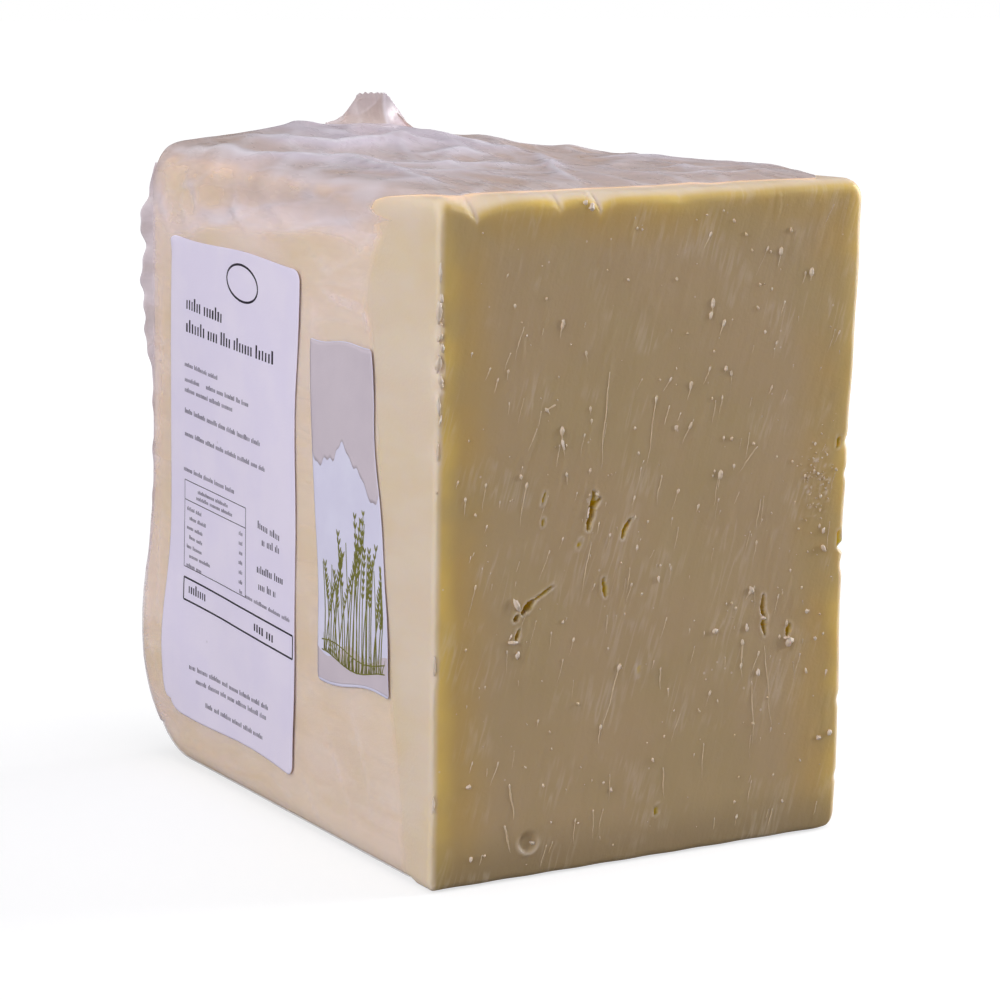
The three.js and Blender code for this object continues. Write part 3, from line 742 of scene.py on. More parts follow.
# Crumbs that show: X, Z, half width, half height, stand-out and lean in degrees.
CRUMBS = [
    (-46.2, 70.2, 1.7, 0.62, 0.8, 4), (-44.9, 81.0, 0.75, 2.0, 0.7, -24), (51.4, 60.5, 1.25, 1.4, 0.9, 8),
    (50.2, 61.6, 0.6, 0.5, 0.7, 0), (24.2, 66.4, 0.95, 0.85, 0.6, -30), (37.3, 77.5, 0.55, 1.2, 0.55, -42),
    (35.9, 66.2, 0.5, 1.2, 0.5, -14), (41.6, 68.7, 0.75, 0.5, 0.6, 20), (63.0, 87.8, 0.6, 1.3, 0.6, -38),
    (62.8, 93.2, 0.5, 0.9, 0.5, 0), (-18.6, 110.9, 0.6, 0.5, 0.5, 0), (-21.4, 105.5, 0.35, 1.6, 0.5, 8),
    (-59.8, 29.6, 0.8, 0.7, 0.5, 0), (63.0, 29.2, 0.8, 0.7, 0.6, 0), (67.0, 30.2, 0.7, 0.9, 0.6, 0),
    (-30.3, 126.0, 0.4, 1.4, 0.4, -16), (-31.0, 161.0, 0.5, 0.9, 0.4, -20), (-44.2, 66.3, 0.7, 1.1, 0.35, 10),
    (-37.6, 10.0, 0.9, 0.6, 0.4, 20), (3.6, 84.0, 0.4, 1.1, 0.4, -10), (19.6, 160.5, 0.5, 1.3, 0.4, 18),
    (-58.6, 8.2, 0.5, 0.8, 0.45, 0), (57.6, 69.0, 0.6, 0.6, 0.4, 0), (61.0, 60.3, 0.55, 0.6, 0.4, 0),
    (-71.3, 176.5, 0.5, 2.4, 0.35, 0), (-71.5, 166.0, 0.9, 3.2, 0.4, 3), (-70.9, 169.5, 0.5, 1.3, 0.35, -8),
    (-71.2, 158.8, 0.8, 1.3, 0.45, 20), (-70.6, 156.0, 0.6, 1.4, 0.4, -10), (-71.4, 151.5, 0.9, 2.4, 0.45, 4),
    (-70.9, 146.4, 0.8, 1.8, 0.4, -12), (-71.3, 139.8, 0.5, 2.8, 0.35, -6), (-70.7, 135.6, 0.35, 1.4, 0.3, 14),
    (-71.3, 127.0, 0.35, 2.6, 0.3, 0), (-71.3, 66.0, 0.4, 3.0, 0.3, 0), (-71.2, 26.0, 0.4, 2.6, 0.3, 0),
    (40.3, 52.0, 0.6, 1.1, 0.5, 6), (57.8, 50.5, 0.35, 0.9, 0.35, -12), (-22.6, 193.0, 0.9, 1.1, 0.5, 30),
    (-24.6, 194.4, 0.7, 0.8, 0.5, 0),
]
LOOSE_CRUMBS = 230
PEBBLE_CRUMBS, RIM_CURLS = 70, 10  # so many of the loose ones lie on the pebbly spot and on the left rim


def lumps(rows, seed):
    """Small uneven balls, one for each row: middle, three half sizes and lean. A ball is its polar angle
    by its turn, its radius shaken per point; the ends of each meridian are drawn to one place."""
    rng = np.random.default_rng(seed)
    steps, turns = 7, 10
    polar = np.linspace(0.02, np.pi - 0.02, steps)[:, None]
    turn = np.arange(turns) / turns * 2 * np.pi
    ball = np.stack([np.sin(polar) * np.cos(turn), np.cos(polar) + 0 * turn, np.sin(polar) * np.sin(turn)], -1)
    shake = 1 + 0.34 * rng.uniform(-1, 1, (len(rows), steps, turns))
    shake[:, 0], shake[:, -1] = 1, 1
    body = ball[None] * shake[..., None] * rows[:, None, None, 3:6]
    lean = np.radians(rows[:, 6])[:, None, None]
    x = body[..., 0] * np.cos(lean) + body[..., 2] * np.sin(lean)
    z = -body[..., 0] * np.sin(lean) + body[..., 2] * np.cos(lean)
    points = np.stack([x, body[..., 1], z], -1) + rows[:, None, None, :3]
    return points, tubes(len(rows), steps, turns)


def crumbs(material):
    """The crumbs that show, where they lie, and a scatter of fine ones over the cut face."""
    rng = np.random.default_rng(41)
    shown = np.array(CRUMBS).T
    x = np.append(shown[0], rng.uniform(-66, 67, LOOSE_CRUMBS))
    z = np.append(shown[1], 4 + 188 * rng.uniform(0, 1, LOOSE_CRUMBS) ** 1.15)
    near = len(CRUMBS) + rng.choice(LOOSE_CRUMBS, PEBBLE_CRUMBS, replace=False)
    x[near] = rng.normal(PEBBLES["x"], 3.0, PEBBLE_CRUMBS)
    z[near] = rng.normal(PEBBLES["z"], 7.5, PEBBLE_CRUMBS)
    on_rim = len(CRUMBS) + rng.choice(LOOSE_CRUMBS, RIM_CURLS, replace=False)
    x[on_rim] = -WIDTH / 2 + 1.1 + rng.normal(0, 0.35, RIM_CURLS)
    upper = rng.uniform(0, 1, RIM_CURLS) < 0.6
    z[on_rim] = np.where(upper, rng.normal(154, 13, RIM_CURLS), rng.uniform(8, 186, RIM_CURLS))
    size = 0.14 + 0.30 * rng.uniform(0, 1, LOOSE_CRUMBS) ** 3
    wide = np.append(shown[2], size)
    high = np.append(shown[3], size * rng.uniform(0.8, 2.2, LOOSE_CRUMBS))
    stand = np.append(1.25 * shown[4], size * 1.3)
    lean = np.append(shown[5], rng.uniform(-40, 25, LOOSE_CRUMBS))
    foot = cut_surface(x, z)
    rows = np.column_stack([foot[:, 0], foot[:, 1] - 0.25 * stand, foot[:, 2], wide, stand, high, lean])
    points, faces = lumps(rows, 42)
    pale = np.append(np.full(len(CRUMBS), 0.8), rng.uniform(0.15, 0.75, LOOSE_CRUMBS))
    pale = np.repeat(pale, points[0].size // 3)
    return piece("cheese_crumbs", points, faces, material, "cheese", pale=pale)


# The smears that show most: X and Z of the head, length and slant of the tail, half widths of both.
SMEARS = [
    (-23.2, 152.4, 3.5, -0.3, 0.5, 0.2), (1.5, 138.2, 21, 0.14, 0.7, 0.28), (6.6, 143.1, 5, 0.7, 0.5, 0.25),
    (13.6, 141.5, 6, 0.2, 0.8, 0.3), (20.2, 145.5, 6, 0.45, 0.5, 0.25), (25.6, 145.2, 2.4, 0.2, 0.8, 0.3),
    (-21.4, 136.5, 2.6, 0.0, 0.5, 0.2), (-30.7, 131.4, 9, -0.06, 0.9, 0.3), (8.5, 129.0, 2.2, 0.0, 0.9, 0.3),
    (14.1, 129.5, 7, 0.5, 0.7, 0.3), (24.9, 114.6, 6, 0.1, 0.9, 0.35), (29.5, 116.0, 2, 0.2, 0.5, 0.2),
    (-42.0, 116.2, 13, 0.17, 0.6, 0.25), (-29.0, 118.1, 4, -0.2, 0.5, 0.3), (4.0, 114.7, 9, 0.2, 0.35, 0.3),
    (-5.2, 109.5, 3, 0.25, 0.5, 0.25), (-14.9, 145.9, 28, 0.09, 0.25, 0.32), (-39.1, 131.4, 7, 0.4, 0.2, 0.25),
    (22.4, 135.4, 7, 0.12, 0.25, 0.25), (37.7, 120.5, 10, 0.9, 0.3, 0.3), (31.7, 107.5, 4, 0.4, 0.2, 0.2),
    (6.2, 135.0, 6, 0.27, 0.4, 0.25), (10.1, 132.7, 3, 0.4, 0.3, 0.2), (25.6, 124.6, 1.8, 0.0, 0.5, 0.2),
    (-8.6, 60.2, 23, 0.3, 0.8, 0.32), (-15.0, 42.7, 6, 0.1, 0.55, 0.3), (5.5, 57.5, 7, 0.02, 0.4, 0.32),
    (8.2, 50.9, 3, -0.15, 0.4, 0.25), (34.5, 62.9, 12, 0.0, 0.6, 0.3), (38.3, 49.6, 20, -0.06, 0.35, 0.32),
    (42.7, 59.9, 27, -0.12, 0.25, 0.28), (40.7, 53.0, 2.4, 0.0, 0.6, 0.3), (21.8, 32.6, 12, 0.06, 0.3, 0.25),
    (7.3, 27.0, 10, -0.07, 0.25, 0.28), (-11.5, 27.3, 9, -0.03, 0.2, 0.22), (-46.1, 28.8, 11, -0.15, 0.4, 0.4),
    (-47.5, 16.8, 9, -0.28, 0.5, 0.4), (55.8, 56.3, 6, 0.29, 0.35, 0.25), (38.0, 78.2, 4.4, 0.7, 0.8, 0.3),
    (-36.5, 137.0, 3, -0.9, 0.7, 0.4), (-33.0, 137.6, 4, 2.2, 0.45, 0.35), (43.3, 178.6, 6, 0.1, 0.8, 0.3),
    (19.1, 184.5, 6, 0.5, 0.6, 0.3), (53.8, 172.0, 4, 0.0, 0.9, 0.3), (20.2, 165.2, 5, 0.0, 0.9, 0.35),
    (24.7, 158.8, 5, 0.3, 0.7, 0.3), (-31.1, 161.2, 5, 0.1, 0.7, 0.3), (-20.0, 97.0, 16, 0.2, 0.2, 0.25),
]
FINE_SMEARS = 190


def smear_ribbons(material):
    """Smears that the knife drew down the face. Each is a flat hump along a line: a round head, then a
    tail that thins towards its end, both standing a little off the face."""
    rng = np.random.default_rng(77)
    shown = np.array(SMEARS).T
    x = np.append(shown[0], rng.uniform(-65, 67, FINE_SMEARS))
    z = np.append(shown[1], rng.normal(95, 48, FINE_SMEARS).clip(9, 190))
    length = np.append(shown[2], 1.2 + 9 * rng.uniform(0, 1, FINE_SMEARS) ** 2.5)
    slant = np.append(shown[3], rng.normal(0.2, 0.14, FINE_SMEARS))[:, None]
    head = np.append(shown[4], 0.16 + 0.42 * rng.uniform(0, 1, FINE_SMEARS) ** 2)
    tail = np.append(shown[5], rng.uniform(0.12, 0.24, FINE_SMEARS))
    along, across = np.linspace(0, 1, 30)[None], np.linspace(-1, 1, 5)
    run = along * length[:, None]
    turns = rng.uniform(0.25, 0.6, (2, len(x), 1))
    sway = 0.35 * np.sin(run * turns[0] + 6 * turns[1]) * along
    down = run / np.hypot(1, slant)
    spine = np.stack([x[:, None] - slant * down + sway, z[:, None] - down], -1)
    spine += 0.10 * np.stack([ripple(spine[..., 0] + 9 * k, spine[..., 1], 1.7, 60 + k) for k in (0, 1)], -1)
    share = np.clip(3.2 * head / length, 0.04, 0.7)[:, None]
    bulb = head[:, None] * np.sqrt(np.clip(1 - (2 * along / share - 1) ** 2, 0, 1))
    thin = 1.25 * tail[:, None] * np.sin(np.pi * np.clip(0.04 + 0.96 * along, 0, 1)) ** 0.5 * (1 - 0.5 * along)
    rough = 0.8 + 0.28 * ripple(spine[..., 1], spine[..., 0], 0.9, 70)
    half = np.maximum(bulb, thin) * rough
    flat = spine[:, :, None] - sideways(spine)[:, :, None] * (half[..., None] * across)[..., None]
    lying = cut_surface(flat[..., 0], flat[..., 1])
    stand = (0.9 * np.maximum(bulb, 0.8 * thin) * rough)[..., None] * (1 - across**2) + 0.01
    top = lying - BACKWARD * stand[..., None]
    under = lying + 0.35 * BACKWARD
    loop = np.concatenate([top, under[:, :, -2:0:-1]], 2)
    mark = 0.12 + 0.42 * (bulb / head[:, None]) ** 0.7
    marks = np.repeat(mark[..., None], loop.shape[2], 2)
    return piece("cheese_smears", loop, tubes(*loop.shape[:3]), material, "cheese", pale=marks)


# The film.
FILM_OUT, FILM_WALL = 0.45, 0.15
INWARD = (0.05, 0.12, 0.2, 0.3, 0.4, 0.5, 0.6, 0.7, 0.8, 0.9, 0.96)  # shares of the way to the back's middle
# Where the film ends: Y by height on the labelled side, and Y by X over the top.
TRIM_LEFT = [
    (0, -79.4), (26, -75.2), (52, -70.5), (126, -61.3), (152.5, -57.0), (158, -56.8), (161.6, -53.8), (165, -53.1),
    (171, -54.7), (181, -58.8), (184.5, -62), (186.5, -59.2), (188.2, -67), (189.3, -57), (190.6, -54.4),
    (192.6, -56), (194, -62), (195.3, -74), (196.4, -86),
]
TRIM_TOP = [
    (-69, -88), (-64, -89.5), (-58, -85.2), (-46, -83), (-35, -83.6), (-24, -82), (-13, -81), (5, -80.2),
    (20, -78.4), (24, -83.4), (35, -81.8), (44, -84.2), (56, -88), (61, -80), (65, -66), (68, -55), (72, -48),
]
TRIM_RIGHT = [(0, -79), (60, -74), (140, -66), (197, -48)]
HUMP = {"rise": 8.0, "x": -6, "spread": 50, "from": 0, "to": 78}
LOOSENESS = 0.5
# Folds of the film over the top: places in X and Y, height and half width.
TOP_FOLDS = [
    ([(-71, 82), (-67, 55), (-66, 30), (-60, 14), (-50, 2), (-52, -18), (-56, -48), (-60, -80)], 3.0, 5.0),
    ([(-51, 72), (-44, 48), (-35, 36), (-21, 42), (-5, 46), (5, 40)], 3.2, 5.0),
    ([(9, 60), (18, 48), (19, 35), (21, 30), (35, 30)], 2.0, 5.0),
    ([(-15, 17), (3, 24), (8, 13)], 1.6, 4.0),
    ([(33, 26), (16, -6), (-12, -60), (-17, -80)], 1.5, 2.2),
    ([(-48, -2), (-30, -14), (-8, -20), (14, -26)], 1.5, 4.0),
    ([(-52, -30), (-34, -40), (-20, -44)], 1.2, 3.0),
    ([(-30, 10), (-24, -12), (-26, -30)], 1.1, 3.0),
    ([(-44, 30), (-48, 10), (-44, -8)], 1.2, 3.0),
    ([(24, -38), (44, -48), (60, -50)], 1.0, 3.0),
    ([(18, -58), (40, -66), (58, -66)], 0.8, 2.4),
    ([(40, 10), (56, -6), (64, -24)], 1.3, 4.0),
    ([(30, 62), (48, 46), (62, 30)], 1.5, 5.0),
    ([(-20, 70), (-26, 84)], 1.5, 3.5),
    ([(40, 84), (50, 66)], 1.2, 4.0),
]
# Creases of the film on the labelled side: places in Y and Z, how far they stand off and half width.
LEFT_CREASES = [
    ([(76, 172), (73, 172.5), (50, 176.5), (30, 180), (16, 184.5), (0, 189.5)], 0.7, 1.6),
    ([(76, 174), (82, 180), (75, 185.5), (54, 189.5), (36, 195)], 0.8, 1.8),
    ([(62, 176), (66, 183), (62, 190)], 0.6, 1.4), ([(22, 178), (30, 184), (28, 191)], 0.6, 1.5),
    ([(-60, 188), (-31, 185.5), (0, 179.5), (26, 179)], 0.35, 1.6),
    ([(89.4, 63.5), (84, 41), (75, 21.6), (61, 6.7)], 0.6, 1.3), ([(90, 90), (88, 64), (82.7, 38)], 0.5, 1.4),
    ([(82, 100), (81, 70), (77, 48), (68, 22)], 0.4, 1.3), ([(-30, 36.5), (-40, 22), (-49, 8.5)], 0.4, 1.2),
    ([(-15, 17), (-21, 10), (-30, 2)], 0.35, 1.2), ([(-46, 44), (-54, 30), (-60, 12)], 0.3, 1.2),
    ([(-20, 168), (-36, 162), (-50, 163)], 0.35, 1.4), ([(-14, 178), (-30, 171), (-46, 176), (-55, 184)], 0.3, 1.6),
    ([(86, 130), (85, 110), (87, 92)], 0.4, 1.4), ([(80, 160), (82, 140), (79, 120)], 0.4, 1.4),
    ([(40, 10), (20, 6), (-6, 7)], 0.35, 1.3), ([(66, 14), (50, 8), (30, 4)], 0.4, 1.3),
]
# Creases that radiate over the rear face, and a few on the right side, in the same way.
BACK_CREASES = [
    ([(-60, 180), (-30, 150), (-12, 120)], 0.9, 3.0), ([(50, 184), (30, 150), (20, 110)], 0.9, 3.0),
    ([(-64, 90), (-30, 96), (0, 92)], 0.7, 2.6), ([(60, 60), (34, 70), (8, 74)], 0.7, 2.6),
    ([(-8, 190), (-2, 150), (4, 104), (2, 60)], 1.0, 2.4), ([(-50, 40), (-30, 50), (-12, 70)], 0.8, 2.6),
    ([(20, 30), (10, 50), (4, 80)], 0.7, 2.4), ([(58, 140), (40, 128), (16, 118)], 0.7, 2.6),
]
RIGHT_CREASES = [
    ([(-40, 190), (-20, 160), (10, 150)], 0.8, 2.4), ([(80, 180), (50, 160), (30, 120)], 0.8, 2.6),
    ([(-60, 120), (-30, 100), (10, 104)], 0.6, 2.4), ([(84, 80), (50, 84), (20, 70)], 0.7, 2.4),
    ([(-66, 50), (-30, 40), (20, 46), (60, 30)], 0.6, 2.2), ([(80, 20), (60, 34), (40, 60)], 0.6, 2.2),
]


def film_piece(name, points, faces, material, wall, replaced=(), **fields):
    """A piece of film with its wall. It is too thin to cast a shadow of its own."""
    made = piece(name, points, faces, material, "film", replaced, **fields)
    made.visible_shadow = False
    return thicken(made, wall)


def folds(u, v, rows):
    """Height of a set of folds, and their thin crests: each is a peaked ridge, one over one plus the
    square of the distance in half widths, its height dying out at both ends."""
    height, crest = np.zeros(u.shape), np.zeros(u.shape)
    for k, (line, high, half) in enumerate(rows):
        bend = 0.35 * half
        moved = u + bend * ripple(u, v, 9, 200 + k), v + bend * ripple(u, v, 11, 300 + k)
        gap, passed = from_line(*moved, line)
        ends = np.sin(np.pi * np.clip(passed * 0.94 + 0.03, 0, 1)) ** 0.6
        ridge = 1 / (1 + (gap / half) ** 2) - 0.12
        height += high * ends * np.clip(ridge, 0, 1)
        crest = np.maximum(crest, ends * bell(gap / max(0.32 * half, 0.9)))
    return height, crest


def crumple(u, v, size, drawn, seed):
    """Crumpled film, 0 to 1: drawn-out noise whose zero lines stand up as soft crests."""
    return np.clip(1.17 - np.sqrt(ripple(u / drawn, v, size, seed) ** 2 + 0.03), 0, 1) ** 3


def puff(x, y):
    """How far the film stands off the top, and the crests of its folds: a hump that grows to the back,
    the folds, and two sizes of crumpling that runs mostly from the front to the back."""
    hump = HUMP["rise"] * bell((x - HUMP["x"]) / HUMP["spread"])
    high = LOOSENESS + hump * smooth((y - HUMP["from"]) / (HUMP["to"] - HUMP["from"]))
    ridges, crest = folds(x, y, TOP_FOLDS)
    slack = smooth((y + 84) / 30)
    bent = x + 9 * ripple(x, y, 46, 84)
    large = crumple(0.95 * y + 0.3 * bent, 0.95 * bent - 0.3 * y, 19, 2.6, 81)
    small = crumple(0.9 * bent - 0.4 * y, 0.9 * y + 0.4 * bent, 11, 2.2, 82)
    crest = np.maximum(crest, 0.3 * smooth((large - 0.84) / 0.16))
    return high + (ridges + 1.1 * large + 0.25 * small) * (0.3 + 0.7 * slack), crest


def trim(x, z):
    """Y at which the film ends at a place of the section, read off the side's own trim line."""
    side = np.where(x < 0, np.interp(z, *np.array(TRIM_LEFT).T), np.interp(z, *np.array(TRIM_RIGHT).T))
    top = np.interp(x, *np.array(TRIM_TOP).T)
    low = lerp(TRIM_LEFT[0][1], TRIM_RIGHT[0][1], x / WIDTH + 0.5)
    line = lerp(side, top, smooth((z - (HEIGHT - 1.2)) / 1.0))
    line = lerp(line, low, smooth((UNDERFILM + 3 - z) / 3))
    return line + 0.35 * ripple(x, z, 3.3, 91) + 0.2 * ripple(x, z, 1.1, 92)


def film_sheet(material):
    """The film as one sheet: spots round the section by shares of the way from the trimmed edge over the
    sides and round to the middle of the back, moved out along the normal by the folds of each side."""
    left = crowded(UNDERFILM, HEIGHT, 2.2, [(190, 12, 0.8), (170, 14, 1.6), (2, 3, 1.2)])
    top = crowded(-WIDTH / 2, WIDTH / 2, 1.35, [(-69, 5, 0.9), (-8, 26, 1.15)])
    right = crowded(UNDERFILM, HEIGHT, 5.0, [(190, 6, 2.0), (3, 4, 2.0)])
    bottom = crowded(-WIDTH / 2, WIDTH / 2, 8.0, [(-70, 4, 2.0), (70, 4, 2.0)])
    sx, sz = border(bottom, right, top, left)
    home, _ = rounded(sx, sz, np.zeros(sx.shape))
    home = home[:, 0], home[:, 2]
    edge = trim(*home)
    shares = np.linspace(0, 1, 116) ** 1.06
    grid, normals, middle = wrapped(sx, sz, edge, back_radius(*home), shares, 6, INWARD, FILM_OUT)
    spots = np.concatenate([grid.reshape(-1, 3), middle[None]])
    normals = np.concatenate([normals.reshape(-1, 3), BACKWARD[None]])
    x, y, z = spots.T
    below_top = 1 - smooth((z - HEIGHT + 4) / 5)
    on_left, on_right = [smooth((side * x - WIDTH / 2 + 4) / 4) * below_top for side in (-1, 1)]
    on_back = smooth((normals[:, 1] - 0.4) / 0.5)
    on_top = smooth((z - (HEIGHT - 12)) / 12)
    high, crest_top = puff(x, np.minimum(y, LENGTH / 2))
    from_edge = y - np.concatenate([np.tile(edge, len(grid)), [edge.mean()]])
    left_high, crest_left = folds(y, z, LEFT_CREASES)
    back_high, crest_back = folds(x, z, BACK_CREASES)
    right_high, crest_right = folds(y, z, RIGHT_CREASES)
    small = 0.40 * crumple(y + 0.4 * z, z - 0.3 * y, 17, 2.6, 95) + 0.06 * crumple(y, z, 8, 2.5, 96)
    off = on_left * (0.9 * left_high + small * (smooth((z - 160) / 26) + 0.25))
    off += on_right * (right_high + 0.7 * small)
    off += on_back * (back_high + 0.8 * crumple(z + 0.4 * x, x - 0.4 * z, 14, 2.5, 97))
    off *= smooth((from_edge + 0.5) / 3) * (1 - on_left * under_labels(y, z))
    made = uneven(spots) + normals * off[:, None]
    made[:, 2] += on_top * (0.12 + 0.88 * smooth((from_edge + 1.5) / 11)) * high
    # Painted highlight: bright lines along the fold crests, and a faint one along the trimmed edge.
    crests = [on_top * crest_top, 0.28 * on_left * crest_left, 0.6 * on_back * crest_back]
    crests += [0.6 * on_right * crest_right, 0.05 * bell(from_edge / 1.1)]
    raise_by = smooth((high - LOOSENESS - HUMP["rise"] * 0.6 * smooth(y / HUMP["to"])) / 3.2)
    milk = milkiness(x, y, z, on_top, on_back, on_right, raise_by)
    milk *= lerp(0.12 + 0.88 * smooth(from_edge / 3.2), 1, on_top)
    rows, cols = grid.shape[:2]
    faces = [quads(rows, cols, wrap=True, flip=True), cap((rows - 1) * cols, cols, len(spots) - 1)]
    # Painted shade: from 15 mm below the top upward the film takes the top's darker tone.
    shade = smooth((z - (HEIGHT - 15)) / 12)
    fields = {"milk": milk, "crease_highlight": np.max(crests, 0), "shade": shade, "rise": raise_by}
    return film_piece("film", made, faces, material, FILM_WALL, ["film_wrap"], **fields)


def under_labels(y, z):
    """1 where a label covers the film and holds it flat, falling to 0 within 4 mm of its edge."""
    covered = np.zeros(y.shape)
    for label in (DETAILS, PICTURE):
        (y0, z0), (y1, z1), (y2, z2), (y3, z3) = label["corners"]
        t = np.clip((z - z0) / (z3 - z0), -0.2, 1.2)
        rear, fore = lerp(y0, y3, t), lerp(y1, y2, t)
        top = lerp(z0, z1, np.clip((y - y0) / (y1 - y0), 0, 1))
        foot = lerp(z3, z2, np.clip((y - y0) / (y1 - y0), 0, 1))
        inside = np.minimum(np.minimum(rear - y, y - fore), np.minimum(top - z, z - foot))
        covered = np.maximum(covered, smooth(1 + inside / 4))
    return covered


# Hazes of the labelled side: places in Y and Z, half width, and how much milkier the film is.
HAZES = [
    ([(34, 188), (0, 188.5), (-24, 189.2), (-58, 189)], 4.6, 0.30),
    ([(84, 188), (82, 181), (75, 174)], 3.4, 0.26),
    ([(76, 171.5), (62, 176.2), (47, 179.5), (29, 184.4), (21, 188)], 2.6, 0.30),
    ([(36, 189), (29.3, 187.6), (27.6, 184.6), (34, 181)], 1.3, 0.22),
    ([(74, 193), (52, 196.5), (28, 198.5), (4, 197)], 2.4, 0.30),
    ([(56, 178), (18, 181), (-5, 182.4), (-29, 185), (-53, 186)], 2.6, 0.14),
    ([(87, 170), (85, 120), (87, 70)], 3.0, 0.14),
    ([(-28, 167), (-43, 163.7), (-55.7, 166)], 3.4, 0.13),
    ([(-55.7, 166), (-52.4, 160.5), (-54.8, 155)], 1.4, 0.20),
    ([(-12, 168), (-22, 156), (-26, 146)], 4.5, 0.12),
    ([(48, 193.6), (30, 194.6), (15, 193.6)], 2.6, -0.26),
    ([(77, 188), (66, 186), (57, 183.4)], 4.6, -0.16),
    ([(15, 193.4), (-5, 192.9), (-23, 192.8), (-42, 192)], 1.7, -0.24),
    ([(64, 192), (58, 187), (56, 182)], 1.5, 0.22),
]


def milkiness(x, y, z, on_top, on_back, on_right, raise_by):
    """How milky the film is: most over the top, less down the sides, clear where it clings low down and
    in the patches near the upper corner where the cheese shows yellow."""
    top = 0.76 + 0.16 * raise_by + 0.05 * ripple(x, y, 18, 101)
    side = 0.20 + 0.17 * smooth((z - 172) / 12) + 0.05 * ripple(0.6 * y + 0.2 * z, z - 0.3 * y, 19, 103)
    side += 0.12 * smooth((y - 74) / 14)
    for k, (line, half, more) in enumerate(HAZES):
        drift = 0.6 * half * ripple(y, z, 11, 140 + k)
        gap, passed = from_line(y + drift, z + drift, line)
        ends = np.sin(np.pi * np.clip(passed * 0.9 + 0.05, 0, 1)) ** 0.7
        side += more * bell(gap / half) * ends * (1 + 0.3 * ripple(y / 4, z + 0.2 * y, 3.0, 160 + k))
    back = 0.42 + 0.16 * ripple(x, z, 18, 105) + 0.2 * smooth((z - 150) / 40)
    milk = lerp(side, top, on_top * smooth((z - (HEIGHT - 7)) / 6))
    milk = lerp(milk, back, on_back)
    return np.clip(lerp(milk, 0.34 + 0.14 * ripple(y, z, 15, 106), on_right * (1 - on_back)), 0.03, 1)


TAIL = {"from": -13, "to": 22, "y": 82, "rise": 9.8, "wall": 0.5, "sway": 1.6}
# The tail's height, 0 to 1, along its foot: a flare and a steep rise, a level crown and a slope down.
OUTLINE = [
    (0, 0), (0.12, 0.10), (0.2, 0.24), (0.27, 0.55), (0.33, 0.9), (0.36, 1), (0.62, 1), (0.66, 0.9),
    (0.83, 0.5), (1, 0),
]


def film_height(x, y):
    """The film's finished height over a place on the top."""
    high, _ = puff(x, y)
    flat = uneven(np.stack([x, y, np.full(x.shape, HEIGHT)], -1))
    return flat[..., 2] + high + FILM_OUT


def film_tail(material):
    """The gathered end of the film: a fin of shares across by shares up. Its outline rises steeply on the
    left and slopes on the right, its crown is torn, and pleats run up it that fan out towards the foot."""
    across, up = np.linspace(0, 1, 110), np.linspace(0, 1, 40)
    s, t = np.meshgrid(across, up)
    outline = np.interp(s, *np.array(OUTLINE).T)
    torn = 0.045 * ripple(s * 60, 0 * s, 1.6, 111) + 0.03 * ripple(s * 60, 0 * s, 0.8, 112)
    crown = outline * (0.97 + torn * smooth((outline - 0.7) / 0.3))
    x = lerp(TAIL["from"], TAIL["to"], s)
    pleats = np.sin(s * 34 + 1.2 * np.sin(s * 9)) * 0.22 + 0.12 * np.sin(s * 71)
    face = np.where(s < 0.58, 1.0, lerp(1.0, 0.15, smooth((s - 0.58) / 0.05)))
    y = TAIL["y"] + TAIL["sway"] * np.sin(2 * np.pi * 1.2 * s) * (0.3 + 0.7 * t)
    y += 0.6 * pleats * face * (0.4 + t) + 3.2 * smooth((s - 0.6) / 0.4) - 5.0 * (1 - t) ** 2.2
    z = film_height(x, y) - 1.0 + (1.4 + TAIL["rise"] * crown) * (0.12 * t + 0.88 * t**1.15)
    milk = 0.82 + 0.05 * pleats - 0.12 * smooth((s - 0.58) / 0.06)
    # Painted highlight: bright lines on the pleats, along the fold where the fin turns, and at the crown.
    crease_highlight = 0.30 * smooth((pleats - 0.25) / 0.2) * face + 0.6 * bell((s - 0.59) / 0.02)
    crease_highlight += 0.25 * smooth((t - 0.96) / 0.04)
    # The tail takes the top's painted shade in full: darker and warm on its left part, lighter on its right slope
    # and towards its crown.
    fields = {"milk": milk, "crease_highlight": crease_highlight, "shade": 1, "rise": 0.05 + 0.6 * smooth((s - 0.56) / 0.06) + 0.15 * t}
    return film_piece("film_tail", np.stack([x, y, z], -1), [quads(*s.shape)], material, TAIL["wall"], **fields)


def film_tail_skirt(material):
    """The back of the tail: the same foot running down to the rear, so that the fin is a folded bag end."""
    across, down = np.linspace(0, 1, 60), np.linspace(0, 1, 16)
    s, t = np.meshgrid(across, down)
    x = lerp(TAIL["from"], TAIL["to"], s)
    y = TAIL["y"] + 0.8 + 8.0 * t**1.3 + 0.5 * np.sin(s * 30)
    outline = np.interp(s, *np.array(OUTLINE).T)
    head = film_height(x, np.minimum(y, LENGTH / 2)) - 0.6
    head += 0.9 * TAIL["rise"] * outline * (1 - smooth(t * 1.15))
    # The tail's back takes the top's painted shade in its darker, warm tone.
    fields = {"milk": 0.8, "crease_highlight": 0, "shade": 1, "rise": 0}
    return film_piece("film_tail_back", np.stack([x, y, head], -1), [quads(*s.shape)], material, 0.3, **fields)


SEAL = {"low": 60, "high": 193.5, "out": 5.2, "wall": 0.35, "waves": 7}


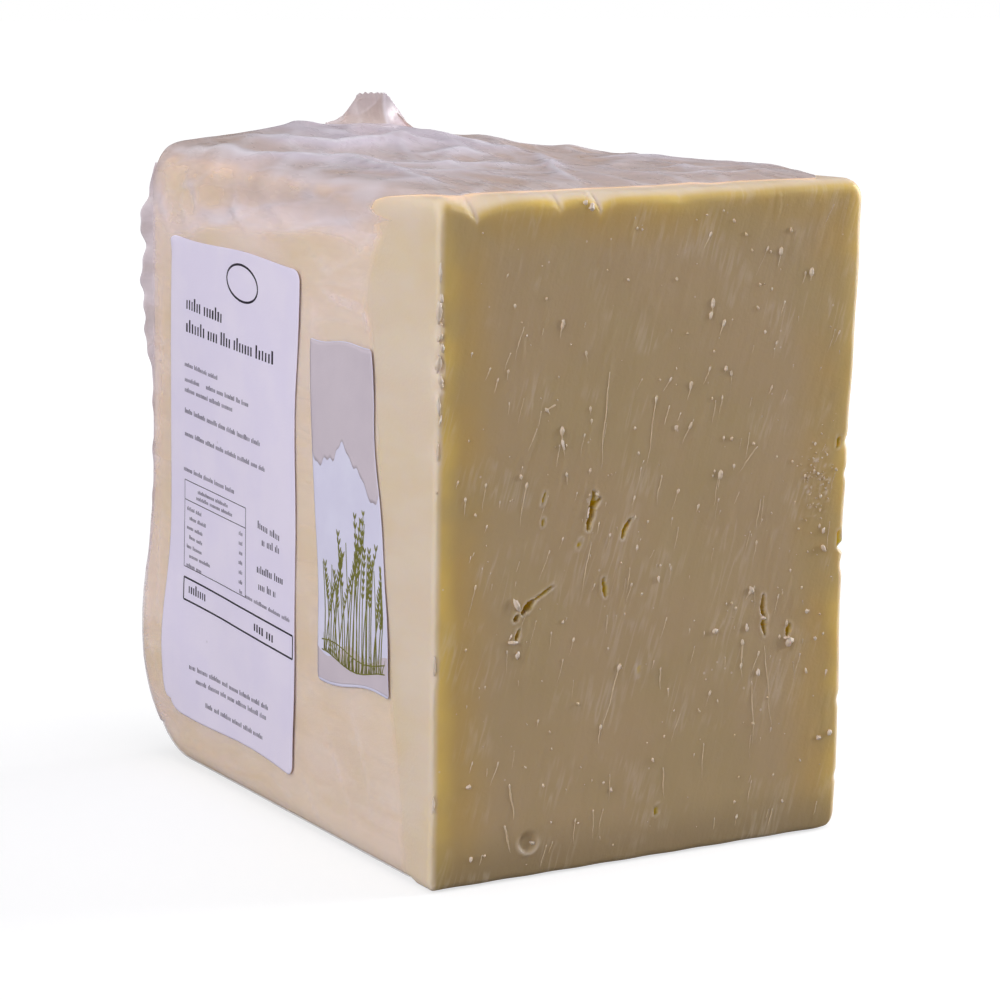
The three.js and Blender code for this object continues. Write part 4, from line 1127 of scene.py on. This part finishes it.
def film_seal(material):
    """The seal down the rear edge of the labelled side: a fin of shares up by shares out, its width a
    scalloped wave that is widest above and narrows to a thin hem below, its sheet slightly rippled."""
    up, out = np.linspace(0, 1, 150), np.linspace(0, 1, 12)
    s, t = np.meshgrid(up, out)
    z = lerp(SEAL["low"], SEAL["high"], s)
    radius = BACK_ROUND["left_and_low"]
    turn = LENGTH / 2 - radius
    reach = (radius + FILM_OUT - 1.0) * np.sqrt(0.5)
    root = uneven(np.stack([-WIDTH / 2 + radius - reach + 0 * s, turn + reach + 0 * s, z], -1))
    waves = 0.80 + 0.13 * np.cos(2 * np.pi * SEAL["waves"] * s) + 0.07 * np.sin(2 * np.pi * 17 * s + 1)
    body = lerp(0.18, 1.0, smooth((z - 116) / 34)) * smooth((1 - s) * 7 + 0.1)
    width = SEAL["out"] * body * waves
    wave = np.sin(2 * np.pi * 9 * s)
    root[..., 0] -= (0.85 * (0.6 + width) - 0.45 * wave) * t
    root[..., 1] += (0.55 * (0.6 + width) + 0.3 * wave) * t
    milk = 0.74 + 0.05 * ripple(z, 20 * t, 9, 121) + 0.08 * t
    # Painted highlight: bright lines along the outer edge and near the root.
    crease_highlight = 0.5 * smooth((t - 0.86) / 0.14) + 0.35 * bell((t - 0.2) / 0.08)
    # The seal takes the top's painted shade, between its darker and lighter tones.
    fields = {"milk": milk, "crease_highlight": crease_highlight, "shade": 1, "rise": 0.6}
    return film_piece("film_seal", root, [quads(*s.shape, flip=True)], material, SEAL["wall"], **fields)


# The labels. Corners as Y and Z from the rear top corner round; how far that corner curls off.
DETAILS = {"corners": [(73.1, 172.2), (-13.0, 169.8), (-11.4, 14.6), (73.9, 19.1)], "round": 3.5, "curl": 1.0}
PICTURE = {"corners": [(-20.7, 150.3), (-56.3, 151.8), (-70.1, 51.8), (-28.6, 49.5)], "round": 1.2, "curl": 0.0}
LABEL_OUT, LABEL_WALL = 0.85, 0.18


def side_place(y, z, out):
    """A place on the labelled side by Y and Z, standing off by out."""
    return uneven(np.stack([-WIDTH / 2 - out + 0 * y, y, z], -1))


def label_place(label, s, t, lift=0.0):
    """A label's place by shares from rear to front and from top to bottom: corners blended both ways,
    with waves along its edges and a sheet that undulates a little."""
    (y0, z0), (y1, z1), (y2, z2), (y3, z3) = label["corners"]
    y = lerp(lerp(y0, y1, s), lerp(y3, y2, s), t)
    z = lerp(lerp(z0, z1, s), lerp(z3, z2, s), t)
    rear, fore = (1 - s) ** 3, s**3
    y += rear * 1.3 * np.sin(7.5 * t + 0.4) * t - fore * (0.6 * np.sin(9 * t + 2.0) + 0.5 * np.sin(17 * t))
    z -= t**3 * 1.0 * np.sin(6 * s + 0.5) + (1 - t) ** 3 * 0.5 * np.sin(8 * s)
    wave = 0.16 * np.sin(6 * t + 2 * s) + 0.10 * np.sin(15 * t - 5 * s) + 0.06 * ripple(s * 80, t * 150, 11, 131)
    return side_place(y, z, LABEL_OUT + wave + lift)


def label_sheet(name, label, cols, rows, material, slot, node_name):
    """A label as a grid of shares whose corners are drawn in to a radius, as a rectangle's to its circles."""
    (y0, z0), (y1, z1), _, (y3, z3) = label["corners"]
    wide, high = np.hypot(y1 - y0, z1 - z0), np.hypot(y3 - y0, z3 - z0)
    u, v = np.meshgrid(*[
        crowded(0, size, size / count, [(0, 4, 0.5), (size, 4, 0.5)]) - size / 2
        for size, count in ((wide, cols), (high, rows))
    ])
    cu = np.clip(u, label["round"] - wide / 2, wide / 2 - label["round"])
    cv = np.clip(v, label["round"] - high / 2, high / 2 - label["round"])
    reach = np.maximum(np.hypot(u - cu, v - cv), 1e-9)
    pull = np.maximum(np.abs(u - cu), np.abs(v - cv)) / reach
    s, t = (cu + (u - cu) * pull) / wide + 0.5, (cv + (v - cv) * pull) / high + 0.5
    points = label_place(label, s, t, label["curl"] * bell(np.hypot(s * wide, t * high) / 3.2))
    return thicken(piece(name, points, [quads(*u.shape, flip=True)], material, slot, [node_name]), LABEL_WALL)


def strokes(lines, halves, lift, steps, label):
    """Flat ribbons on a label along lines given as Y and Z: each is resampled to equal steps and widened
    sideways by its half width, then laid on the label's surface."""
    spines = []
    for line in lines:
        line = np.array(line, float)
        run = np.concatenate([[0], np.cumsum(np.hypot(*np.diff(line, axis=0).T))])
        at = np.linspace(0, run[-1], steps)
        spines.append(np.stack([np.interp(at, run, line[:, k]) for k in (0, 1)], -1))
    spine = np.stack(spines)
    half = np.broadcast_to(np.reshape(halves, (len(lines), -1)), spine.shape[:2])[..., None]
    side = sideways(spine) * half
    both = np.stack([spine - side, spine + side], 2)
    points = surface_of(label, both[..., 0], both[..., 1], lift)
    starts = np.arange(len(lines))[:, None, None] * steps * 2
    return points.reshape(-1, 3), (quads(steps, 2)[None] + starts).reshape(-1, 4)


def surface_of(label, y, z, lift):
    """The label's surface at Y and Z: the shares that lead there, found by three steps of correction."""
    (y0, z0), (y1, _), _, (_, z3) = label["corners"]
    s, t = (y - y0) / (y1 - y0), (z - z0) / (z3 - z0)
    for _ in range(3):
        made = label_place(label, s, t)
        s = s + (y - made[..., 1]) / (y1 - y0)
        t = t + (z - made[..., 2]) / (z3 - z0)
    return label_place(label, s, t, lift)


REAR = 73.5  # columns of the details label are measured from here towards the cut
# Rows of print: start, end, Z of the middle at the start, fall along the row, height, words.
PRINT_ROWS = [
    (11.2, 38.7, 151.5, 1.8, 4.2, 2), (11.2, 73.1, 144.2, 3.0, 4.2, 5), (10.4, 35.1, 131.8, 1.5, 1.5, 3),
    (10.4, 22.0, 126.9, 0.4, 1.5, 1), (26.0, 56.5, 126.5, 1.6, 1.6, 5), (10.4, 45.6, 123.7, 1.8, 1.6, 4),
    (10.4, 64.3, 117.0, 3.0, 1.7, 7), (10.4, 67.4, 109.6, 3.0, 1.6, 8), (9.8, 46.4, 98.3, 2.0, 1.6, 5),
    (61.4, 77.3, 89.0, 1.8, 2.5, 2), (64.1, 77.0, 84.0, 0.7, 2.5, 3), (61.0, 79.5, 75.1, 0.8, 2.5, 2),
    (62.0, 74.9, 69.9, 0.5, 2.5, 3), (53.6, 83.6, 65.0, 2.0, 1.4, 4), (13.9, 27.3, 60.2, 0.9, 3.4, 1),
    (59.0, 73.8, 57.0, 1.6, 3.4, 2), (14.9, 69.5, 34.6, 1.9, 1.7, 8), (19.1, 68.2, 30.6, 1.3, 1.7, 7),
    (25.3, 65.6, 24.0, 1.5, 1.7, 6), (20.0, 42.0, 92.1, 1.0, 1.3, 2), (19.0, 45.0, 90.0, 1.2, 1.3, 3),
]
TABLE = {"left": 10.7, "right": 53.5, "top": 94.7, "head": 88.4, "foot": 66.7, "fall": 2.2}
TABLE_ROWS = 7
BOX = {"left": 11.0, "right": 84.7, "top": 63.2, "foot": 56.0, "fall": 4.6}
RING = {"a": 50.1, "z": 161.4, "wide": 10.4, "high": 5.5, "fall": 0.088}


def word_bars(start, end, z, fall, high, words, rng):
    """One row of print as plain bars: words of random length with gaps, each split into letter-wide ticks."""
    cuts = rng.uniform(0.6, 1.4, words)
    cuts = np.concatenate([[0], np.cumsum(cuts) / cuts.sum()])
    gap = 0.75 * high ** 0.5
    bars = []
    for a, b in zip(cuts[:-1], cuts[1:]):
        left, right = lerp(start, end, a), lerp(start, end, b) - gap
        ticks = max(2, int(round((right - left) / (0.46 * high))))
        for k in range(ticks):
            at = lerp(left, right, (k + 0.5) / ticks)
            tall = high * rng.choice([0.66, 0.66, 0.66, 0.72, 0.96])
            wide = (right - left) / ticks * rng.uniform(0.20, 0.28)
            middle = z - fall * (at - start) / (end - start) - (high - tall) / 2
            bars.append((at, middle, wide, tall / 2))
    return bars


def details_print(material):
    """The details label's print: rows of plain ticks for words, an empty ring, a table and a heavy box."""
    rng = np.random.default_rng(7)
    bars = [bar for row in PRINT_ROWS for bar in word_bars(*row, rng)]
    for k in range(TABLE_ROWS):
        z = TABLE["head"] - 2.6 - k * (TABLE["head"] - TABLE["foot"] - 3.4) / (TABLE_ROWS - 1)
        inset = 1.6 if k % 2 == 0 else 3.4
        bars += word_bars(TABLE["left"] + inset, TABLE["left"] + inset + rng.uniform(9, 16), z, 0.7, 1.3, 2, rng)
        bars += word_bars(TABLE["right"] - rng.uniform(4, 5), TABLE["right"] - 1.2, z - 1.7, 0.2, 1.4, 1, rng)
    lines = [[(REAR - at, z - half), (REAR - at, z + half)] for at, z, _, half in bars]
    halves = [wide for _, _, wide, _ in bars]
    for box, half in ((TABLE, 0.13), (BOX, 0.3)):
        left, right = REAR - box["left"], REAR - box["right"]
        (a, b), (c, d) = [((left, box[key]), (right, box[key] - box["fall"])) for key in ("top", "foot")]
        lines += [[a, b], [c, d], [a, c], [b, d]]
        halves += [half] * 4
    lines.append([(REAR - TABLE["left"], TABLE["head"]), (REAR - TABLE["right"], TABLE["head"] - TABLE["fall"])])
    halves.append(0.13)
    turn = np.linspace(0, 2 * np.pi, 49)
    ring_y = REAR - RING["a"] - RING["wide"] * np.cos(turn)
    ring_z = RING["z"] + RING["high"] * np.sin(turn) - RING["fall"] * RING["wide"] * np.cos(turn)
    points, faces = strokes(lines, halves, 0.03, 12, DETAILS)
    ring, ring_faces = strokes([np.stack([ring_y, ring_z], -1)], [0.36], 0.03, 49, DETAILS)
    faces = [faces, ring_faces + len(points)]
    made = piece("label_details_print", np.concatenate([points, ring]), faces, material, "white_label")
    return thicken(made, 0.02)


# The picture label's design: rolling ground lines and a meadow of grasses with seed heads.
BLADES = 30
TUFTS = 34
MARGIN = 1.6
SPAN = (-31.0, -65.0)


def ground(y, row=0):
    """Height of a ground line at Y: a sine, the second row's a little higher and ahead."""
    return 57.0 + 3.5 * row + 1.6 * np.sin(y * 0.16 + 0.8 * row)


def held(y, z):
    """Y kept a margin within the picture label's rear and front edges at this height."""
    (y0, z0), (y1, z1), (y2, z2), (y3, z3) = PICTURE["corners"]
    rear = lerp(y0, y3, (z0 - z) / (z0 - z3)) - MARGIN
    fore = lerp(y1, y2, (z1 - z) / (z1 - z2)) + MARGIN
    return np.clip(y, fore, rear)


def picture_strokes():
    """Lines and half widths of the design. Each grass is a bent line, its lean growing with the square
    of its height, and two in three have a seed head of short strokes in pairs; two sines run below as
    the ground, with short tufts on the lower one."""
    rng = np.random.default_rng(19)
    lines, halves = [], []
    up = np.linspace(0, 1, 10)
    for k in range(BLADES):
        foot = lerp(*SPAN, (k + rng.uniform(0.1, 0.9)) / BLADES)
        tall = rng.uniform(14, 26) + 24 * bell((foot + 50) / 11)
        lean = rng.normal(0, 3.2)
        z = ground(foot) + tall * up
        y = held(foot + lean * up**2, z)
        lines.append(np.stack([y, z], -1))
        halves.append(0.17 + 0.12 * (1 - up))
        if k % 3 == 0:
            continue
        for share in np.linspace(0.62, 1.0, 7):
            stem_y, stem_z = np.interp(share, up, y), ground(foot) + tall * share
            long = rng.uniform(1.6, 2.6)
            for side in (-1, 1):
                ear = stem_z + long * up
                lines.append(np.stack([held(stem_y + side * long * 0.42 * up, ear), ear], -1))
                halves.append(0.34 * np.sin(np.pi * np.linspace(0.06, 0.96, 10)))
    for row in (0, 1):
        y = np.linspace(-29.6, -67.0, 20)
        lines.append(np.stack([y, ground(y, row)], -1))
        halves.append(np.full(10, 0.2))
    for foot in np.linspace(SPAN[0], SPAN[1] - 0.5, TUFTS):
        long = rng.uniform(2.5, 6.0)
        turn = rng.uniform(-0.7, 0.7)
        z = ground(foot) + long * up
        lines.append(np.stack([held(foot + long * up**1.5 * turn, z), z], -1))
        halves.append(0.26 * (1 - np.linspace(0, 0.85, 10)))
    return lines, halves


def picture_print(green, mauve):
    """The picture label's fields: a mauve field above a wavy border and a small one below, and the green
    line design over the ground."""
    lines, halves = picture_strokes()
    points, faces = strokes(lines, np.stack(halves), 0.06, 10, PICTURE)
    made = piece("label_picture_stems", points, [faces], green, "picture_label")
    thicken(made, 0.02)
    s, t = np.meshgrid(np.linspace(0.004, 0.996, 50), np.linspace(0, 1, 30))
    low = 0.30 + 0.045 * np.sin(8 * s + 0.6) + 0.014 * np.sin(23 * s) + 0.006 * np.sin(61 * s) + 0.10 * s
    upper = label_place(PICTURE, s, lerp(0.002, low, t), 0.03)
    foot = 0.90 + 0.02 * np.sin(11 * s)
    lower = label_place(PICTURE, s, lerp(foot, 0.992, t), 0.03)
    sheet = quads(*s.shape, flip=True)
    made = piece("label_picture_fields", [upper, lower], [sheet, sheet + s.size], mauve, "picture_label")
    return thicken(made, 0.015)


# The stage: floor, light and camera.
CAMERA = {"yaw": -31.68, "pitch": 10.431, "roll": -1.046, "place": (-517.79, -848.09, 275.43), "focal": 3221.6}
PICTURE_WIDTH = 1000
FLOOR = 6.0  # half its side, in metres


def camera():
    """The photograph's viewing angle: yaw about Z, then pitch down, then roll about the line of sight."""
    data = bpy.data.cameras.new("camera")
    data.sensor_width = 36
    data.lens = CAMERA["focal"] * data.sensor_width / PICTURE_WIDTH
    data.clip_end = 20
    made = bpy.data.objects.new("camera", data)
    turn = Matrix.Rotation(radians(CAMERA["yaw"]), 4, "Z")
    turn = turn @ Matrix.Rotation(radians(90 - CAMERA["pitch"]), 4, "X")
    turn = turn @ Matrix.Rotation(radians(-CAMERA["roll"]), 4, "Z")
    made.matrix_world = Matrix.Translation(Vector(place(np.array(CAMERA["place"])))) @ turn
    bpy.context.scene.collection.objects.link(made)
    bpy.context.scene.camera = made


def lamp(name, spot, size, power):
    """A soft square lamp that looks at the block's middle."""
    data = bpy.data.lights.new(name, "AREA")
    data.shape = "SQUARE"
    data.size, data.energy = size, power
    made = bpy.data.objects.new(name, data)
    made.location = spot
    made.rotation_euler = (Vector((0, 0, 0.1)) - Vector(spot)).to_track_quat("-Z", "Y").to_euler()
    bpy.context.scene.collection.objects.link(made)


def stage():
    """A pale floor, a white surround and soft lamps: the key from the left, one above, one from the right
    that rakes the cut, and a weak fill from the front. The floor fades to white away from the block."""
    mesh = bpy.data.meshes.new("floor")
    mesh.from_pydata([(FLOOR * x, FLOOR * y, 0) for x, y in ((-1, -1), (1, -1), (1, 1), (-1, 1))], [], [range(4)])
    floor = bpy.data.objects.new("floor", mesh)
    floor.location.z = -0.0004
    bpy.context.scene.collection.objects.link(floor)
    material, tree, shader, spot = finish("pale floor", Roughness=0.9, Base_Color=colour(165, 165, 168))
    shader.inputs["Emission Color"].default_value = (1, 1, 1, 1)
    away = node(tree, "VectorMath", {0: spot}, operation="LENGTH").outputs["Value"]
    glow = between(tree, away, 0.25, 1.3, 0.68, 1.0)
    glow = sums(tree, "MULTIPLY", glow, node(tree, "LightPath").outputs["Is Camera Ray"])
    tree.links.new(glow, shader.inputs["Emission Strength"])
    mesh.materials.append(material)
    world = bpy.data.worlds.new("surround")
    bpy.context.scene.world = world
    world.use_nodes = True
    tree = world.node_tree
    tree.nodes.clear()
    seen = node(tree, "Background", {"Color": (1, 1, 1, 1), "Strength": 1.0})
    cast = node(tree, "Background", {"Color": (0.93, 0.95, 1.0, 1), "Strength": 0.12})
    direct = node(tree, "LightPath").outputs["Is Camera Ray"]
    both = node(tree, "MixShader", {0: direct, 1: cast.outputs[0], 2: seen.outputs[0]})
    node(tree, "OutputWorld", {"Surface": both.outputs[0]})
    lamp("key", (-1.53, -0.53, 0.75), 1.1, 18.5)
    lamp("top", (-0.1, -0.05, 1.5), 1.2, 8)
    lamp("front", (0.7, -1.5, 0.6), 1.0, 0.8)
    lamp("right", (1.4, -0.18, 0.5), 0.9, 25)
    bpy.context.scene.view_settings.view_transform = "Standard"
    bpy.context.scene.view_settings.look = "None"


camera()
stage()
cheese_block(cheese_finish())
torn = torn_finish()
crumbs(torn)
smear_ribbons(torn)
film = film_finish()
film_sheet(film)
film_tail(film)
film_tail_skirt(film)
film_seal(film)
white = paper_finish("white label", colour(244, 235, 255), colour(240, 231, 254))
print_stock = paper_finish("printed label", colour(233, 230, 252), colour(227, 223, 247))
label_sheet("label_details_sheet", DETAILS, 34, 60, white, "white_label", "label_details")
label_sheet("label_picture_sheet", PICTURE, 18, 40, print_stock, "picture_label", "label_picture")
details_print(ink_finish("black ink", colour(38, 32, 44), colour(62, 54, 70)))
picture_print(
    ink_finish("green ink", colour(122, 120, 48), colour(142, 140, 74)),
    paper_finish("mauve print", colour(216, 203, 213), colour(211, 198, 209)),
)
